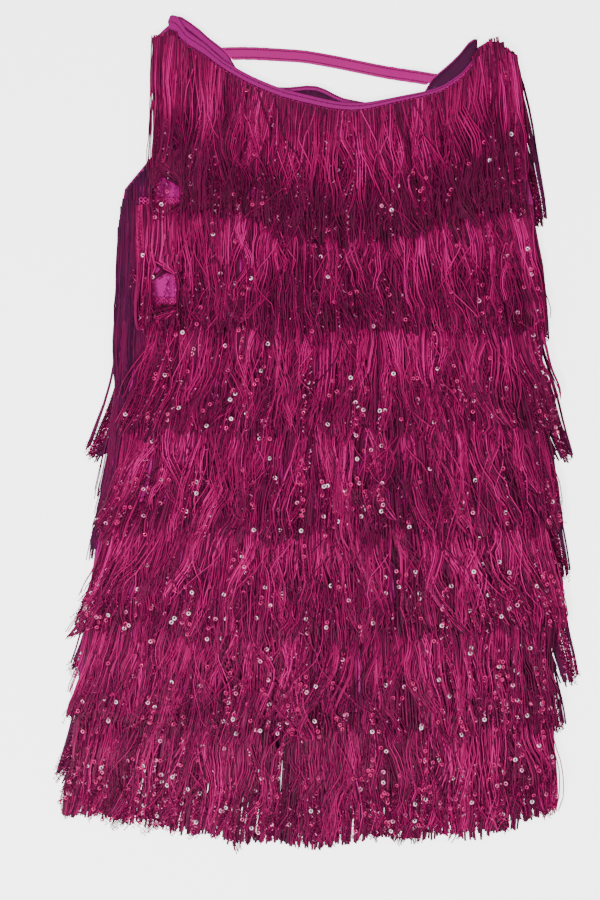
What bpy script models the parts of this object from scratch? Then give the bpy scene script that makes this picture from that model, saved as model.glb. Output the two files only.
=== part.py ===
"""Sleeveless fringe dance dress, lying flat on its back with the neck towards +Y.

A jersey front and back lie on each other. Both necks are bound, and an elastic strap crosses the back of
the neck. Seven rows of fringe lie over the front like shingles, and seven more lie under the back.
The numbers below are millimetres, and the meshes are built in metres.
"""

import math
import random
from collections import namedtuple

import bmesh
import bpy
from mathutils import Matrix

MM = 0.001

# Cloth and seams
WALL = 1.5
SEAM_GAP = 0.3
ROW_GAP = 1.0
BINDING_THICK = 2.4
BACK_BINDING_WIDTH = 9.0
BINDING_ROUND_FROM = 0.2
BINDING_SIDE_SHARE = 0.6
STEEPEST = 2.0
STRAP_WIDTH = 13.5

# Rows of fringe, counted from the neck: each hangs from a header tape
ROWS = 7
ROW_TWO_HEIGHT = 229.5
ROW_PITCH = 104.0
ROW_SAG_STEP = 4.4
ROW_MIDDLE = 0.0
ROW_HALF_WIDTH = 245.0
HEADER_DEPTH = 8.0
HEADER_INSET = 2.0
HEM_BELOW_ROW = 21.0
STRAND_LENGTH = 141.0
LAST_ROW_LENGTH = 136.0
FRONT_LOCKS = 20
BACK_LOCKS = 12

# Levels above the floor
BACK_FRINGE_TOP = 6.0
BACK_PANEL_LOW = BACK_FRINGE_TOP + SEAM_GAP
FRONT_PANEL_LOW = BACK_PANEL_LOW + WALL + SEAM_GAP
FRONT_FRINGE_LOW = FRONT_PANEL_LOW + WALL + SEAM_GAP

# Form of the locks on the front, each thicker away from its root and thin at its tip
ROOT_THICK = 3.5
LOFT_SLOPE = 0.07
RAMP = 13.0
RAMP_CLEAR = 4.5
TIP_THICK = 2.2
HEM_FALL = 5.5
LOCK_CROWN = 0.72

# Form of the locks under the back
BACK_ROOT_THICK = 2.0
BACK_REST_FROM = 70.0
BACK_UNDER_ROW = 3.4
BACK_TIP_THICK = 1.1
BACK_LAST_TIP_THICK = 1.8

# Plan of one lock, as shares of the room that it has
ROOT_SHARE = 0.93
TIP_SHARE = 0.40
TIP_WANDER = 0.12
LENGTH_SPREAD = 0.06
EDGE_SHORTER = 0.10
WAVE = 2.5
WAVE_LENGTH = 95.0
WAVE_DRIFT = 210.0
WAVE_TURN_PER_ROW = 0.37
SEED = 17

Side = namedtuple("Side", "height front_left front_right back_left back_right")
Edge = namedtuple("Edge", "x height")
Reach = namedtuple("Reach", "front_left front_right back_left back_right")

# Sides of the panels from the shoulders, past the armholes and the waist, to the hem
SIDES = (
    Side(402, -167, 204, -167, 204),
    Side(345, -160, 208, -162, 210),
    Side(306, -156, 207, -160, 210),
    Side(270, -164, 209, -172, 213),
    Side(240, -183, 218, -200, 221),
    Side(184, -179, 222, -204, 226),
    Side(133, -173, 225, -203, 229),
    Side(51, -190, 229, -205, 233),
    Side(-41, -211, 233, -217, 236),
    Side(-133, -226, 236, -228, 239),
    Side(-224, -239, 238, -241, 241),
    Side(-320, -247, 240, -249, 242),
)

# Upper edge of the front panel: left shoulder, boat neck, right shoulder
FRONT_EDGE = (
    Edge(-167, 400),
    Edge(-152, 410),
    Edge(-137, 396),
    Edge(-119, 386),
    Edge(-95, 369),
    Edge(-64, 352),
    Edge(-28, 338.5),
    Edge(36, 327),
    Edge(90, 337.5),
    Edge(127, 347),
    Edge(146, 359),
    Edge(160, 373),
    Edge(168, 390),
    Edge(180, 397),
    Edge(204, 383),
)
FRONT_BINDING = (Edge(-152, 12.5), Edge(-119, 9.5), Edge(-95, 8), Edge(36, 9), Edge(127, 7), Edge(168, 5))

# Upper edge of the back panel, with the low hump that shows over the front neck
BACK_EDGE = (
    Edge(-167, 400),
    Edge(-147, 416),
    Edge(-130, 407),
    Edge(-116, 395),
    Edge(-98, 379.5),
    Edge(-82, 359),
    Edge(-56, 344.5),
    Edge(-31, 342),
    Edge(-6, 344),
    Edge(27, 331),
    Edge(74, 324.5),
    Edge(97, 328),
    Edge(109, 333),
    Edge(124, 351.5),
    Edge(147, 373),
    Edge(165, 392),
    Edge(180, 399),
    Edge(204, 384),
)
FRONT_NECK = (-152.0, 168.0)
BACK_NECK = (-147.0, 165.0)
NECK_STEPS = 34
SHOULDER_STEPS = 4
SIDE_STEPS = 18
HEM_STEPS = 10

# Middle line of the elastic strap
STRAP_LINE = (
    Edge(-98, 385.5),
    Edge(-60, 386.5),
    Edge(-20, 385),
    Edge(10, 380.5),
    Edge(45, 373.5),
    Edge(80, 366.3),
    Edge(122, 358.5),
)
STRAP_LIES_FROM = 0.28
STRAP_LEFT_SLOPE = (-140.0, -60.0)
STRAP_RIGHT_SLOPE = (100.0, 160.0)
STRAP_STEPS = 18
STRAP_END_STEPS = 8
STRAP_END_GAP = 0.45

# How far out the tips of each row's outer locks reach, a line for each row
REACHES = (
    Reach(-168, 214, -170, 236),
    Reach(-181, 234, -208, 240),
    Reach(-205, 250, -239, 264),
    Reach(-228, 252, -233, 260),
    Reach(-250, 258, -257, 271),
    Reach(-260, 246, -271, 256),
    Reach(-264, 246, -265, 246),
)

MAGENTA = (0.42, 0.012, 0.13)
DARK_MAGENTA = (0.22, 0.008, 0.10)
JERSEY_PINK = (0.52, 0.03, 0.28)
BINDING_PINK = (0.45, 0.03, 0.26)
STRAP_PINK = (0.50, 0.03, 0.24)


def blend(low, high, share):
    return low + (high - low) * share


def ease(share):
    share = min(max(share, 0.0), 1.0)
    return share * share * (3 - 2 * share)


def slopes_of(xs, ys):
    """Slopes at the points of a curve that never overshoots them."""
    rises = [(ys[k + 1] - ys[k]) / (xs[k + 1] - xs[k]) for k in range(len(xs) - 1)]
    slopes = [rises[0]]
    for before, after in zip(rises, rises[1:]):
        slopes.append(0.0 if before * after <= 0 else 2 * before * after / (before + after))
    slopes.append(rises[-1])
    return slopes


def curve_at(xs, ys, at):
    """Height of the smooth curve through the points (xs, ys), held level past its ends."""
    if at <= xs[0]:
        return ys[0]
    if at >= xs[-1]:
        return ys[-1]
    slopes = slopes_of(xs, ys)
    k = max(index for index in range(len(xs) - 1) if xs[index] <= at)
    span = xs[k + 1] - xs[k]
    t = (at - xs[k]) / span
    start = (1 + 2 * t) * (1 - t) ** 2 * ys[k] + t * (1 - t) ** 2 * span * slopes[k]
    end = t * t * (3 - 2 * t) * ys[k + 1] - t * t * (1 - t) * span * slopes[k + 1]
    return start + end


def line_at(rows, x):
    return curve_at([row.x for row in rows], [row.height for row in rows], x)


def side_at(column, height):
    rows = sorted(SIDES)
    return curve_at([row.height for row in rows], [getattr(row, column) for row in rows], height)


def steepness(rows, x):
    """How much longer a sloping edge is than its run along X, which widens what is measured along Y."""
    slope = (line_at(rows, x + 1) - line_at(rows, x - 1)) / 2
    return min(math.hypot(1, slope), STEEPEST)


def crossing(line, height, low, high):
    """The x between low and high where a falling or rising line passes this height."""
    falling = line(low) > line(high)
    for _ in range(40):
        middle = (low + high) / 2
        if (line(middle) > height) == falling:
            low = middle
        else:
            high = middle
    return (low + high) / 2


def row_line(row, x):
    """Lower edge of the header tape of rows 2 to 7, which rises a little towards the sides."""
    away = (x - ROW_MIDDLE) / ROW_HALF_WIDTH
    return ROW_TWO_HEIGHT - (row - 2) * ROW_PITCH + ROW_SAG_STEP * (row - 2) * away * away


def hem_line(x):
    return row_line(ROWS, x) - HEM_BELOW_ROW


def surface(name, colour, roughness):
    material = bpy.data.materials.new(name)
    material.use_nodes = True
    shader = material.node_tree.nodes["Principled BSDF"]
    shader.inputs["Base Color"].default_value = (*colour, 1)
    shader.inputs["Roughness"].default_value = roughness
    shader.inputs["Metallic"].default_value = 0.0
    return material


def add_object(name, mesh_data, colour, roughness):
    bmesh.ops.recalc_face_normals(mesh_data, faces=mesh_data.faces)
    mesh = bpy.data.meshes.new(name)
    mesh_data.to_mesh(mesh)
    mesh_data.free()
    mesh.materials.append(surface(name, colour, roughness))
    mesh.shade_flat()
    obj = bpy.data.objects.new(name, mesh)
    bpy.context.scene.collection.objects.link(obj)
    return obj


def corner(mesh_data, x, y, z):
    return mesh_data.verts.new((x * MM, y * MM, z * MM))


def close_rings(mesh_data, ring, next_ring):
    for k in range(len(ring)):
        following = (k + 1) % len(ring)
        mesh_data.faces.new((ring[k], ring[following], next_ring[following], next_ring[k]))


def loft(name, sections, colour, roughness):
    """A closed bar through rings of (x, y, z) points that all have the same count."""
    mesh_data = bmesh.new()
    rings = [[corner(mesh_data, *point) for point in section] for section in sections]
    for ring, next_ring in zip(rings, rings[1:]):
        close_rings(mesh_data, ring, next_ring)
    mesh_data.faces.new(rings[0])
    mesh_data.faces.new(rings[-1])
    return add_object(name, mesh_data, colour, roughness)


def spread(low, high, steps):
    """Evenly spaced places from low up to, but not with, high."""
    return [blend(low, high, k / steps) for k in range(steps)]


def panel(name, prefix, edge, neck, low):
    """A flat wall of jersey inside its side lines, its upper edge and the hem."""
    left, right = prefix + "_left", prefix + "_right"
    edge_places = spread(edge[0].x, neck[0], SHOULDER_STEPS) + spread(*neck, NECK_STEPS)
    edge_places += spread(neck[1], edge[-1].x, SHOULDER_STEPS)
    hem_left = side_at(left, hem_line(SIDES[-1].front_left))
    hem_right = side_at(right, hem_line(SIDES[-1].front_right))
    outline = []
    for k in range(SIDE_STEPS):
        height = blend(hem_line(hem_left), edge[0].height, k / SIDE_STEPS)
        outline.append((side_at(left, height), height))
    for x in edge_places:
        outline.append((x, line_at(edge, x)))
    for k in range(SIDE_STEPS):
        height = blend(edge[-1].height, hem_line(hem_right), k / SIDE_STEPS)
        outline.append((side_at(right, height), height))
    for k in range(HEM_STEPS):
        x = blend(hem_right, hem_left, k / HEM_STEPS)
        outline.append((x, hem_line(x)))
    mesh_data = bmesh.new()
    lower = [corner(mesh_data, x, y, low) for x, y in outline]
    upper = [corner(mesh_data, x, y, low + WALL) for x, y in outline]
    close_rings(mesh_data, lower, upper)
    mesh_data.faces.new(lower)
    mesh_data.faces.new(upper)
    return add_object(name, mesh_data, JERSEY_PINK, 0.55)


def binding_rim(edge, width, x):
    """Free edge of a neck binding that is this wide at this x."""
    return line_at(edge, x) + (SEAM_GAP + width) * steepness(edge, x)


def binding(name, edge, width_at, ends, low, thick):
    """A folded band along a neck edge, flat below and rounded above."""
    sections = []
    for x in [*spread(*ends, NECK_STEPS), ends[1]]:
        seam = line_at(edge, x) + SEAM_GAP * steepness(edge, x)
        rim = binding_rim(edge, width_at(x), x)
        inner = blend(seam, rim, BINDING_ROUND_FROM)
        outer = blend(seam, rim, 1 - BINDING_ROUND_FROM)
        shoulder = low + thick * BINDING_SIDE_SHARE
        top = low + thick
        sections.append(
            ((x, seam, low), (x, rim, low), (x, rim, shoulder), (x, outer, top), (x, inner, top), (x, seam, shoulder))
        )
    return loft(name, sections, BINDING_PINK, 0.45)


def front_binding_width(x):
    return line_at(FRONT_BINDING, x)


def back_binding_width(x):
    return BACK_BINDING_WIDTH


def back_rim(x):
    """Free edge of the back binding, straight between the places where the binding has a section."""
    step = (BACK_NECK[1] - BACK_NECK[0]) / NECK_STEPS
    before = BACK_NECK[0] + math.floor((x - BACK_NECK[0]) / step) * step
    rims = [binding_rim(BACK_EDGE, BACK_BINDING_WIDTH, place) for place in (before, before + step)]
    return blend(*rims, (x - before) / step)


def strap_end(middle, low, high, inward):
    """Upper and lower x of a strap end that stands just clear of the binding's free edge."""
    heights = spread(middle + STRAP_WIDTH / 2, middle - STRAP_WIDTH / 2, STRAP_END_STEPS)
    heights.append(middle - STRAP_WIDTH / 2)
    rims = [crossing(back_rim, height, low, high) for height in heights]
    chord = [*spread(rims[0], rims[-1], STRAP_END_STEPS), rims[-1]]
    bulge = max(inward * (rim - straight) for rim, straight in zip(rims, chord))
    shift = inward * (bulge + STRAP_END_GAP)
    return rims[0] + shift, rims[-1] + shift


def back_strap():
    """An elastic band between the two slopes of the back neck, lying on the floor between them."""
    half = STRAP_WIDTH / 2
    ends = STRAP_LINE[0].height, STRAP_LINE[-1].height
    left_top, left_low = strap_end(ends[0], *STRAP_LEFT_SLOPE, 1)
    right_top, right_low = strap_end(ends[1], *STRAP_RIGHT_SLOPE, -1)
    sections = []
    for k in range(STRAP_STEPS + 1):
        share = k / STRAP_STEPS
        top_x = blend(left_top, right_top, share)
        low_x = blend(left_low, right_low, share)
        top = line_at(STRAP_LINE, top_x) + half
        bottom = line_at(STRAP_LINE, low_x) - half
        level = BACK_PANEL_LOW * (1 - ease(min(share, 1 - share) / STRAP_LIES_FROM))
        upper = level + WALL
        sections.append(((low_x, bottom, level), (top_x, top, level), (top_x, top, upper), (low_x, bottom, upper)))
    return loft("back_strap", sections, STRAP_PINK, 0.5)


class Row:
    """One row of fringe on the front or the back: its header tape and the plan of its locks."""

    def __init__(self, side, number):
        self.front = side == "front"
        self.number = number
        self.count = FRONT_LOCKS if self.front else BACK_LOCKS
        self.edge = FRONT_EDGE if self.front else BACK_EDGE
        self.last = number == ROWS
        self.length = LAST_ROW_LENGTH if self.last else STRAND_LENGTH
        reach = REACHES[number - 1]
        self.tip_left = getattr(reach, side + "_left")
        self.tip_right = getattr(reach, side + "_right")
        self.left, self.right = self.header_ends(side)
        self.dice = random.Random(SEED + 10 * number + self.front)

    def header_ends(self, side):
        if self.number == 1:
            return self.edge[0].x + 2 * HEADER_INSET, self.edge[-1].x - 2 * HEADER_INSET
        height = row_line(self.number, ROW_HALF_WIDTH)
        return side_at(side + "_left", height) + HEADER_INSET, side_at(side + "_right", height) - HEADER_INSET

    def header(self, x):
        """Lower and upper edge of the header tape at this x."""
        if self.number > 1:
            low = row_line(self.number, x)
            return low, low + HEADER_DEPTH
        steep = steepness(self.edge, x)
        seam = line_at(self.edge, x)
        return seam - (1 + HEADER_DEPTH) * steep, seam - steep

    def pitch(self, share):
        return blend(self.right - self.left, self.tip_right - self.tip_left, share) / self.count

    def plan(self, lock, run, wander):
        """Left and right x of a lock where it is this far from its root."""
        share = run / self.length
        root = blend(self.left, self.right, (lock + 0.5) / self.count)
        half_tip = self.pitch(1) * TIP_SHARE / 2
        tip = blend(self.tip_left + half_tip, self.tip_right - half_tip, lock / (self.count - 1))
        half = self.pitch(share) * blend(ROOT_SHARE, TIP_SHARE, share**3) / 2
        turn = 2 * math.pi * (run / WAVE_LENGTH + root / WAVE_DRIFT + WAVE_TURN_PER_ROW * self.number)
        calm = math.sin(math.pi * (lock + 0.5) / self.count)
        middle = blend(root, tip, share) + calm * (WAVE * share * math.sin(turn) + wander * share * share)
        return middle - half, middle + half

    def lock_length(self, lock):
        away = abs(2 * (lock + 0.5) / self.count - 1)
        shorter = EDGE_SHORTER * away**4 if self.last else 0.0
        return self.length * (1 - self.dice.uniform(0, LENGTH_SPREAD) - shorter)


def front_top(run):
    """How high the fringe stands over what it lies on, this far from its root."""
    return ROOT_THICK + LOFT_SLOPE * run


def front_levels(row, run, to_next, length, loft_share):
    """Lower and upper level of a front lock, which climbs over the next row and falls past the hem."""
    low = FRONT_FRINGE_LOW
    if row.last:
        past_hem = max(run - HEM_BELOW_ROW, 0) / (length - HEM_BELOW_ROW)
        low -= HEM_FALL * past_hem
        thick = blend(front_top(run) * loft_share, TIP_THICK, past_hem**1.5)
        return low, low + thick
    past_next = run - to_next
    if past_next > -HEADER_DEPTH - RAMP_CLEAR - 1:
        low += front_top(max(past_next, 0)) + ROW_GAP
    high = max(FRONT_FRINGE_LOW + front_top(run) * loft_share, low + TIP_THICK)
    if run == length:
        high = low + TIP_THICK
    return low, high


def back_levels(row, run, to_next, length, loft_share):
    """Lower and upper level of a back lock, which comes down to the floor and slips under the next row."""
    low = (BACK_FRINGE_TOP - BACK_ROOT_THICK) * max(0, 1 - run / BACK_REST_FROM)
    if row.last:
        past_hem = max(run - HEM_BELOW_ROW, 0) / (length - HEM_BELOW_ROW)
        return low, blend(BACK_FRINGE_TOP, BACK_LAST_TIP_THICK, past_hem)
    past_next = run - to_next
    if past_next > -HEADER_DEPTH - RAMP_CLEAR - 1:
        share = max(0, past_next) / max(length - to_next, 1)
        return low, blend(BACK_UNDER_ROW, BACK_TIP_THICK, share)
    return low, BACK_FRINGE_TOP


def stations(row, to_next, length):
    """Distances from the root at which a lock has a ring, and the length that it ends with."""
    if row.last:
        return [HEM_BELOW_ROW - 1, BACK_REST_FROM, (BACK_REST_FROM + length) / 2, length]
    before = to_next - HEADER_DEPTH - RAMP
    over = to_next - HEADER_DEPTH - RAMP_CLEAR
    if length > to_next + 2:
        first = before / 2 if row.front else BACK_REST_FROM
        return [first, before, over, length]
    length = min(length, before)
    return [BACK_REST_FROM, (BACK_REST_FROM + length) / 2, length]


def fringe(side, number):
    """A header tape whose lower edge runs out into separate locks, all one closed solid."""
    row = Row(side, number)
    levels = front_levels if row.front else back_levels
    root_low = FRONT_FRINGE_LOW if row.front else BACK_FRINGE_TOP - BACK_ROOT_THICK
    root_high = FRONT_FRINGE_LOW + ROOT_THICK if row.front else BACK_FRINGE_TOP
    mesh_data = bmesh.new()
    rings = []
    for lock in range(row.count):
        for edge in (0.5 - ROOT_SHARE / 2, 0.5 + ROOT_SHARE / 2):
            x = blend(row.left, row.right, (lock + edge) / row.count)
            low, high = row.header(x)
            places = ((low, root_low), (high, root_low), (high, root_high), (low, root_high))
            rings.append([corner(mesh_data, x, y, z) for y, z in places])
    mesh_data.faces.new(rings[0])
    mesh_data.faces.new(rings[-1])
    for index, (ring, next_ring) in enumerate(zip(rings, rings[1:])):
        for k in range(3):
            mesh_data.faces.new((ring[k], ring[k + 1], next_ring[k + 1], next_ring[k]))
        if index % 2:
            mesh_data.faces.new((ring[3], ring[0], next_ring[0], next_ring[3]))
    for lock in range(row.count):
        left_ring, right_ring = rings[2 * lock], rings[2 * lock + 1]
        root = [left_ring[0], right_ring[0], right_ring[3], left_ring[3]]
        add_lock(mesh_data, row, lock, root, levels)
    colour = MAGENTA if row.front else DARK_MAGENTA
    return add_object(f"fringe_{side}_{number}", mesh_data, colour, 0.5)


def add_lock(mesh_data, row, lock, root, levels):
    """One lock from its four root corners to its tip."""
    middle = blend(row.left, row.right, (lock + 0.5) / row.count)
    start = row.header(middle)[0]
    to_next = start - row_line(row.number + 1, middle)
    wander = row.dice.uniform(-1, 1) * TIP_WANDER * row.pitch(1)
    loft_share = row.dice.uniform(0.86, 1.0)
    runs = stations(row, to_next, row.lock_length(lock))
    ring = root
    for run in runs:
        left, right = row.plan(lock, run, wander)
        low, high = levels(row, run, to_next, runs[-1], loft_share)
        crown = (1 - LOCK_CROWN) / 2 * (right - left)
        y = start - run
        places = ((left, low), (right, low), (right - crown, high), (left + crown, high))
        next_ring = [corner(mesh_data, x, y, z) for x, z in places]
        close_rings(mesh_data, ring, next_ring)
        ring = next_ring
    mesh_data.faces.new(ring)


def centre_on_origin():
    """Moves the whole dress sideways until the middle of its plan is the origin."""
    objects = list(bpy.context.scene.collection.objects)
    points = [vertex.co for obj in objects for vertex in obj.data.vertices]
    middle_x = (min(point.x for point in points) + max(point.x for point in points)) / 2
    middle_y = (min(point.y for point in points) + max(point.y for point in points)) / 2
    for obj in objects:
        obj.data.transform(Matrix.Translation((-middle_x, -middle_y, 0)))


def build():
    for obj in list(bpy.data.objects):
        bpy.data.objects.remove(obj)
    panel("back_panel", "back", BACK_EDGE, BACK_NECK, BACK_PANEL_LOW)
    panel("front_panel", "front", FRONT_EDGE, FRONT_NECK, FRONT_PANEL_LOW)
    binding("neck_binding_back", BACK_EDGE, back_binding_width, BACK_NECK, BACK_PANEL_LOW, WALL)
    binding("neck_binding_front", FRONT_EDGE, front_binding_width, FRONT_NECK, FRONT_PANEL_LOW, BINDING_THICK)
    back_strap()
    for number in range(1, ROWS + 1):
        fringe("front", number)
        fringe("back", number)
    centre_on_origin()


build()
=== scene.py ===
# %% [markdown]
# # A fringe dance costume, laid flat
# The costume is a sleeveless jersey tube with seven tiers of long strand fringe sewn on all round.
# It lies on its back on a pale floor, neck towards +Y, and we look straight down at it.
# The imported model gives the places: panels, neck bindings, the strap across the open back and
# the seven header tapes on each side. This script dresses each of them in its real finish.

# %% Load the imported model
import math

import bmesh
import bpy
import numpy as np
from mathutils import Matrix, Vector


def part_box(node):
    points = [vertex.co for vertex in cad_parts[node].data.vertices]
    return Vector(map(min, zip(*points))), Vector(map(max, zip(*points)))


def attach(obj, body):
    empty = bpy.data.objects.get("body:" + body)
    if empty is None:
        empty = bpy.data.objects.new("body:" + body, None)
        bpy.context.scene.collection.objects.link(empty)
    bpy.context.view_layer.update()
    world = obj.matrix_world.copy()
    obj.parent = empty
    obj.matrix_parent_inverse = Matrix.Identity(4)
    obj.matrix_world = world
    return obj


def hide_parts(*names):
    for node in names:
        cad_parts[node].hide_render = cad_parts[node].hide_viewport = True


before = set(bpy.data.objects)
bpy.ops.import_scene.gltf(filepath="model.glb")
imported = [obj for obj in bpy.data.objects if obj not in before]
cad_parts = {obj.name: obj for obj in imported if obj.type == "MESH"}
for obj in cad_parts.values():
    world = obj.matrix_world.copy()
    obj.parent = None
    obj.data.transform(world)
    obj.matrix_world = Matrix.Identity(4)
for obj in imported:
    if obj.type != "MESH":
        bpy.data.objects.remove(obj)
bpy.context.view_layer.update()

MM = 0.001

# %% [markdown]
# ## Camera and light
# The garment lies on the floor and the picture was taken from straight above, so the camera looks
# down along Z. A fairly long lens keeps the thick fringe from leaning outwards at the sides.
# The key light stands over the hem end, to the left. It grazes the tiers, so each one is bright
# where it faces the hem and dark where it dips before the next header tape; the yarns' colours also
# carry these bands as painted light and shade. A wide fill light and a pale world soften its shadows.

# %% Camera and light
VIEW_HEIGHT = 0.918
VIEW_CENTRE = (-0.0167, -0.0212)
LENS = 60.0
FILM = 36.0
FRINGE_LEVEL = 0.014


def linked(name, data):
    """A new object with this data, linked into the scene."""
    thing = bpy.data.objects.new(name, data)
    bpy.context.scene.collection.objects.link(thing)
    return thing


camera_data = bpy.data.cameras.new("camera")
camera_data.lens = LENS
camera_data.sensor_width = FILM
camera_data.clip_start = 0.05
camera = linked("camera", camera_data)
camera.location = (*VIEW_CENTRE, FRINGE_LEVEL + VIEW_HEIGHT * LENS / FILM)
bpy.context.scene.camera = camera


def soft_light(name, place, size, power):
    """A square area light at one place, turned to aim at the middle of the garment."""
    data = bpy.data.lights.new(name, "AREA")
    data.shape = "SQUARE"
    data.size = size
    data.energy = power
    light = linked(name, data)
    light.location = place
    x, y, z = place
    light.rotation_euler = (math.acos(z / math.hypot(x, y, z)), 0, math.atan2(x, -y))


soft_light("key_light", place=(-0.45, -0.75, 1.5), size=0.35, power=32)
soft_light("fill_light", place=(0.6, 0.7, 1.8), size=1.6, power=9)

world = bpy.data.worlds.new("studio")
world.use_nodes = True
background = world.node_tree.nodes["Background"].inputs
background["Color"].default_value = (1, 1, 1, 1)
background["Strength"].default_value = 0.65
bpy.context.scene.world = world

# %% [markdown]
# ## Materials
# All the fringe is one rayon yarn in magenta. What makes it lively is that every strand has its
# own depth of colour: the strand meshes carry a `tone` attribute from 0 (plum, deep inside the
# fringe) to 1 (bright magenta, on top) and one colour ramp turns it into a colour. Most of that
# range is painted shade and light: strands deep in the fringe, in the dip before each header tape
# and in the back rows are painted darker, those on top brighter; the rest is random tone.
# A small node group gives yarn and jersey the same kind of fine unevenness.

# %% Helpers for materials
PLUM = (0.042, 0.0001, 0.017, 1)
DEEP_MAGENTA = (0.17, 0.0005, 0.055, 1)
MAGENTA = (0.49, 0.0015, 0.138, 1)
HOT_PINK = (0.74, 0.009, 0.260, 1)
JERSEY_PINK = (0.50, 0.003, 0.24, 1)
JERSEY_SHADE = (0.34, 0.004, 0.16, 1)
# painted shade: the jersey darkened for the inside of the back neck
JERSEY_PAINTED_SHADE = (0.07, 0.0005, 0.040, 1)
BINDING_PINK = (0.29, 0.002, 0.155, 1)
STRAP_PINK = (0.44, 0.005, 0.19, 1)


def yarn_variation():
    """A group that mixes a colour with a darker one by fine noise on Object coordinates."""
    group = bpy.data.node_groups.new("yarn_variation", "ShaderNodeTree")
    face = group.interface
    for label, kind in (("Light", "Color"), ("Dark", "Color"), ("Scale", "Float"), ("Amount", "Float")):
        face.new_socket(label, in_out="INPUT", socket_type="NodeSocket" + kind)
    for label, kind in (("Color", "Color"), ("Height", "Float")):
        face.new_socket(label, in_out="OUTPUT", socket_type="NodeSocket" + kind)
    nodes, links = group.nodes, group.links
    inside, outside = nodes.new("NodeGroupInput"), nodes.new("NodeGroupOutput")
    place = nodes.new("ShaderNodeTexCoord")
    noise = nodes.new("ShaderNodeTexNoise")
    noise.inputs["Detail"].default_value = 3
    share = nodes.new("ShaderNodeMath")
    share.operation = "MULTIPLY"
    mix = nodes.new("ShaderNodeMix")
    mix.data_type = "RGBA"
    links.new(place.outputs["Object"], noise.inputs["Vector"])
    links.new(inside.outputs["Scale"], noise.inputs["Scale"])
    links.new(noise.outputs["Fac"], share.inputs[0])
    links.new(inside.outputs["Amount"], share.inputs[1])
    links.new(share.outputs[0], mix.inputs["Factor"])
    links.new(inside.outputs["Light"], mix.inputs["A"])
    links.new(inside.outputs["Dark"], mix.inputs["B"])
    links.new(mix.outputs["Result"], outside.inputs["Color"])
    links.new(noise.outputs["Fac"], outside.inputs["Height"])
    return group


VARIATION = yarn_variation()


def finish_named(name, roughness, sheen=0.0):
    """A material with a Principled shader, returned with the parts that the callers link to."""
    material = bpy.data.materials.new(name)
    material.use_nodes = True
    nodes, links = material.node_tree.nodes, material.node_tree.links
    shader = nodes["Principled BSDF"]
    shader.inputs["Roughness"].default_value = roughness
    shader.inputs["Sheen Weight"].default_value = sheen
    shader.inputs["Sheen Roughness"].default_value = 0.4
    shader.inputs["Sheen Tint"].default_value = HOT_PINK
    shader.inputs["Specular IOR Level"].default_value = 0.18
    return material, nodes, links, shader


def varied(nodes, light, dark, scale, amount):
    """The variation group placed in one material with its own colours."""
    group = nodes.new("ShaderNodeGroup")
    group.node_tree = VARIATION
    values = {"Light": light, "Dark": dark, "Scale": scale, "Amount": amount}
    for label, value in values.items():
        group.inputs[label].default_value = value
    return group


def raised(nodes, links, shader, height, distance, strength):
    """A height linked to the shader's normal by a bump."""
    bump = nodes.new("ShaderNodeBump")
    bump.inputs["Distance"].default_value = distance
    bump.inputs["Strength"].default_value = strength
    links.new(height, bump.inputs["Height"])
    links.new(bump.outputs["Normal"], shader.inputs["Normal"])


def tone_ramp(nodes, links, stops):
    """A colour ramp over the tone attribute that the Geometry Nodes trees store."""
    tone = nodes.new("ShaderNodeAttribute")
    tone.attribute_name = "tone"
    ramp = nodes.new("ShaderNodeValToRGB")
    elements = ramp.color_ramp.elements
    while len(elements) < len(stops):
        elements.new(0.5)
    for element, (place, colour) in zip(elements, stops):
        element.position = place
        element.color = colour
    links.new(tone.outputs["Fac"], ramp.inputs["Fac"])
    return ramp


# %% Strand yarn, and a darker copy of it as painted shade for the back rows
def strand_material(name, stops, roughness):
    """Rayon yarn: the tone ramp, darkened a little by fine noise along each strand."""
    material, nodes, links, shader = finish_named(name, roughness, sheen=0.08)
    ramp = tone_ramp(nodes, links, stops)
    group = varied(nodes, MAGENTA, PLUM, scale=260.0, amount=0.35)
    links.new(ramp.outputs["Color"], group.inputs["Light"])
    links.new(group.outputs["Color"], shader.inputs["Base Color"])
    raised(nodes, links, shader, group.outputs["Height"], 0.3 * MM, 0.5)
    return material


# the ramp's dark end is reached mostly by painted shade, its bright end by painted light on the top
# strands
front_yarn = strand_material(
    "front_yarn", ((0.0, PLUM), (0.35, DEEP_MAGENTA), (0.75, MAGENTA), (1.0, HOT_PINK)), 0.42
)
# the back rows' yarn is the same yarn painted darker and more violet: painted shade, as they lie under
# the front rows and round the sides
BACK_SHADE_PLUM = (0.020, 0.001, 0.022, 1)
BACK_SHADE_VIOLET = (0.11, 0.002, 0.060, 1)
shaded_back_yarn = strand_material(
    "shaded_back_yarn", ((0.0, BACK_SHADE_PLUM), (0.6, BACK_SHADE_VIOLET), (1.0, DEEP_MAGENTA)), 0.5
)

# %% [markdown]
# ## Reading the rows from the frame
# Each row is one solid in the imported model: a header tape with separate locks hanging from it.
# The far edge of the header and the tips of the locks are read from that solid, so every strand
# made here starts on its own tape and ends where its lock ends. A copy of the node is merged and
# its flat faces joined first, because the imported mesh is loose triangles.

# %% Rows from the frame
FRONT, BACK = "front", "back"
ROWS = 7
TIP_NARROWEST = 3.5 * MM
CAP_FACING = -0.6
FAR_FACING = 0.4
LET_OUT = 4 * MM


def joined_copy(node):
    """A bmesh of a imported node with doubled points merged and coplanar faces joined."""
    mesh_data = bmesh.new()
    mesh_data.from_mesh(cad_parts[node].data)
    bmesh.ops.remove_doubles(mesh_data, verts=mesh_data.verts, dist=0.01 * MM)
    bmesh.ops.dissolve_limit(
        mesh_data, angle_limit=math.radians(0.3), verts=mesh_data.verts, edges=mesh_data.edges
    )
    return mesh_data


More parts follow.
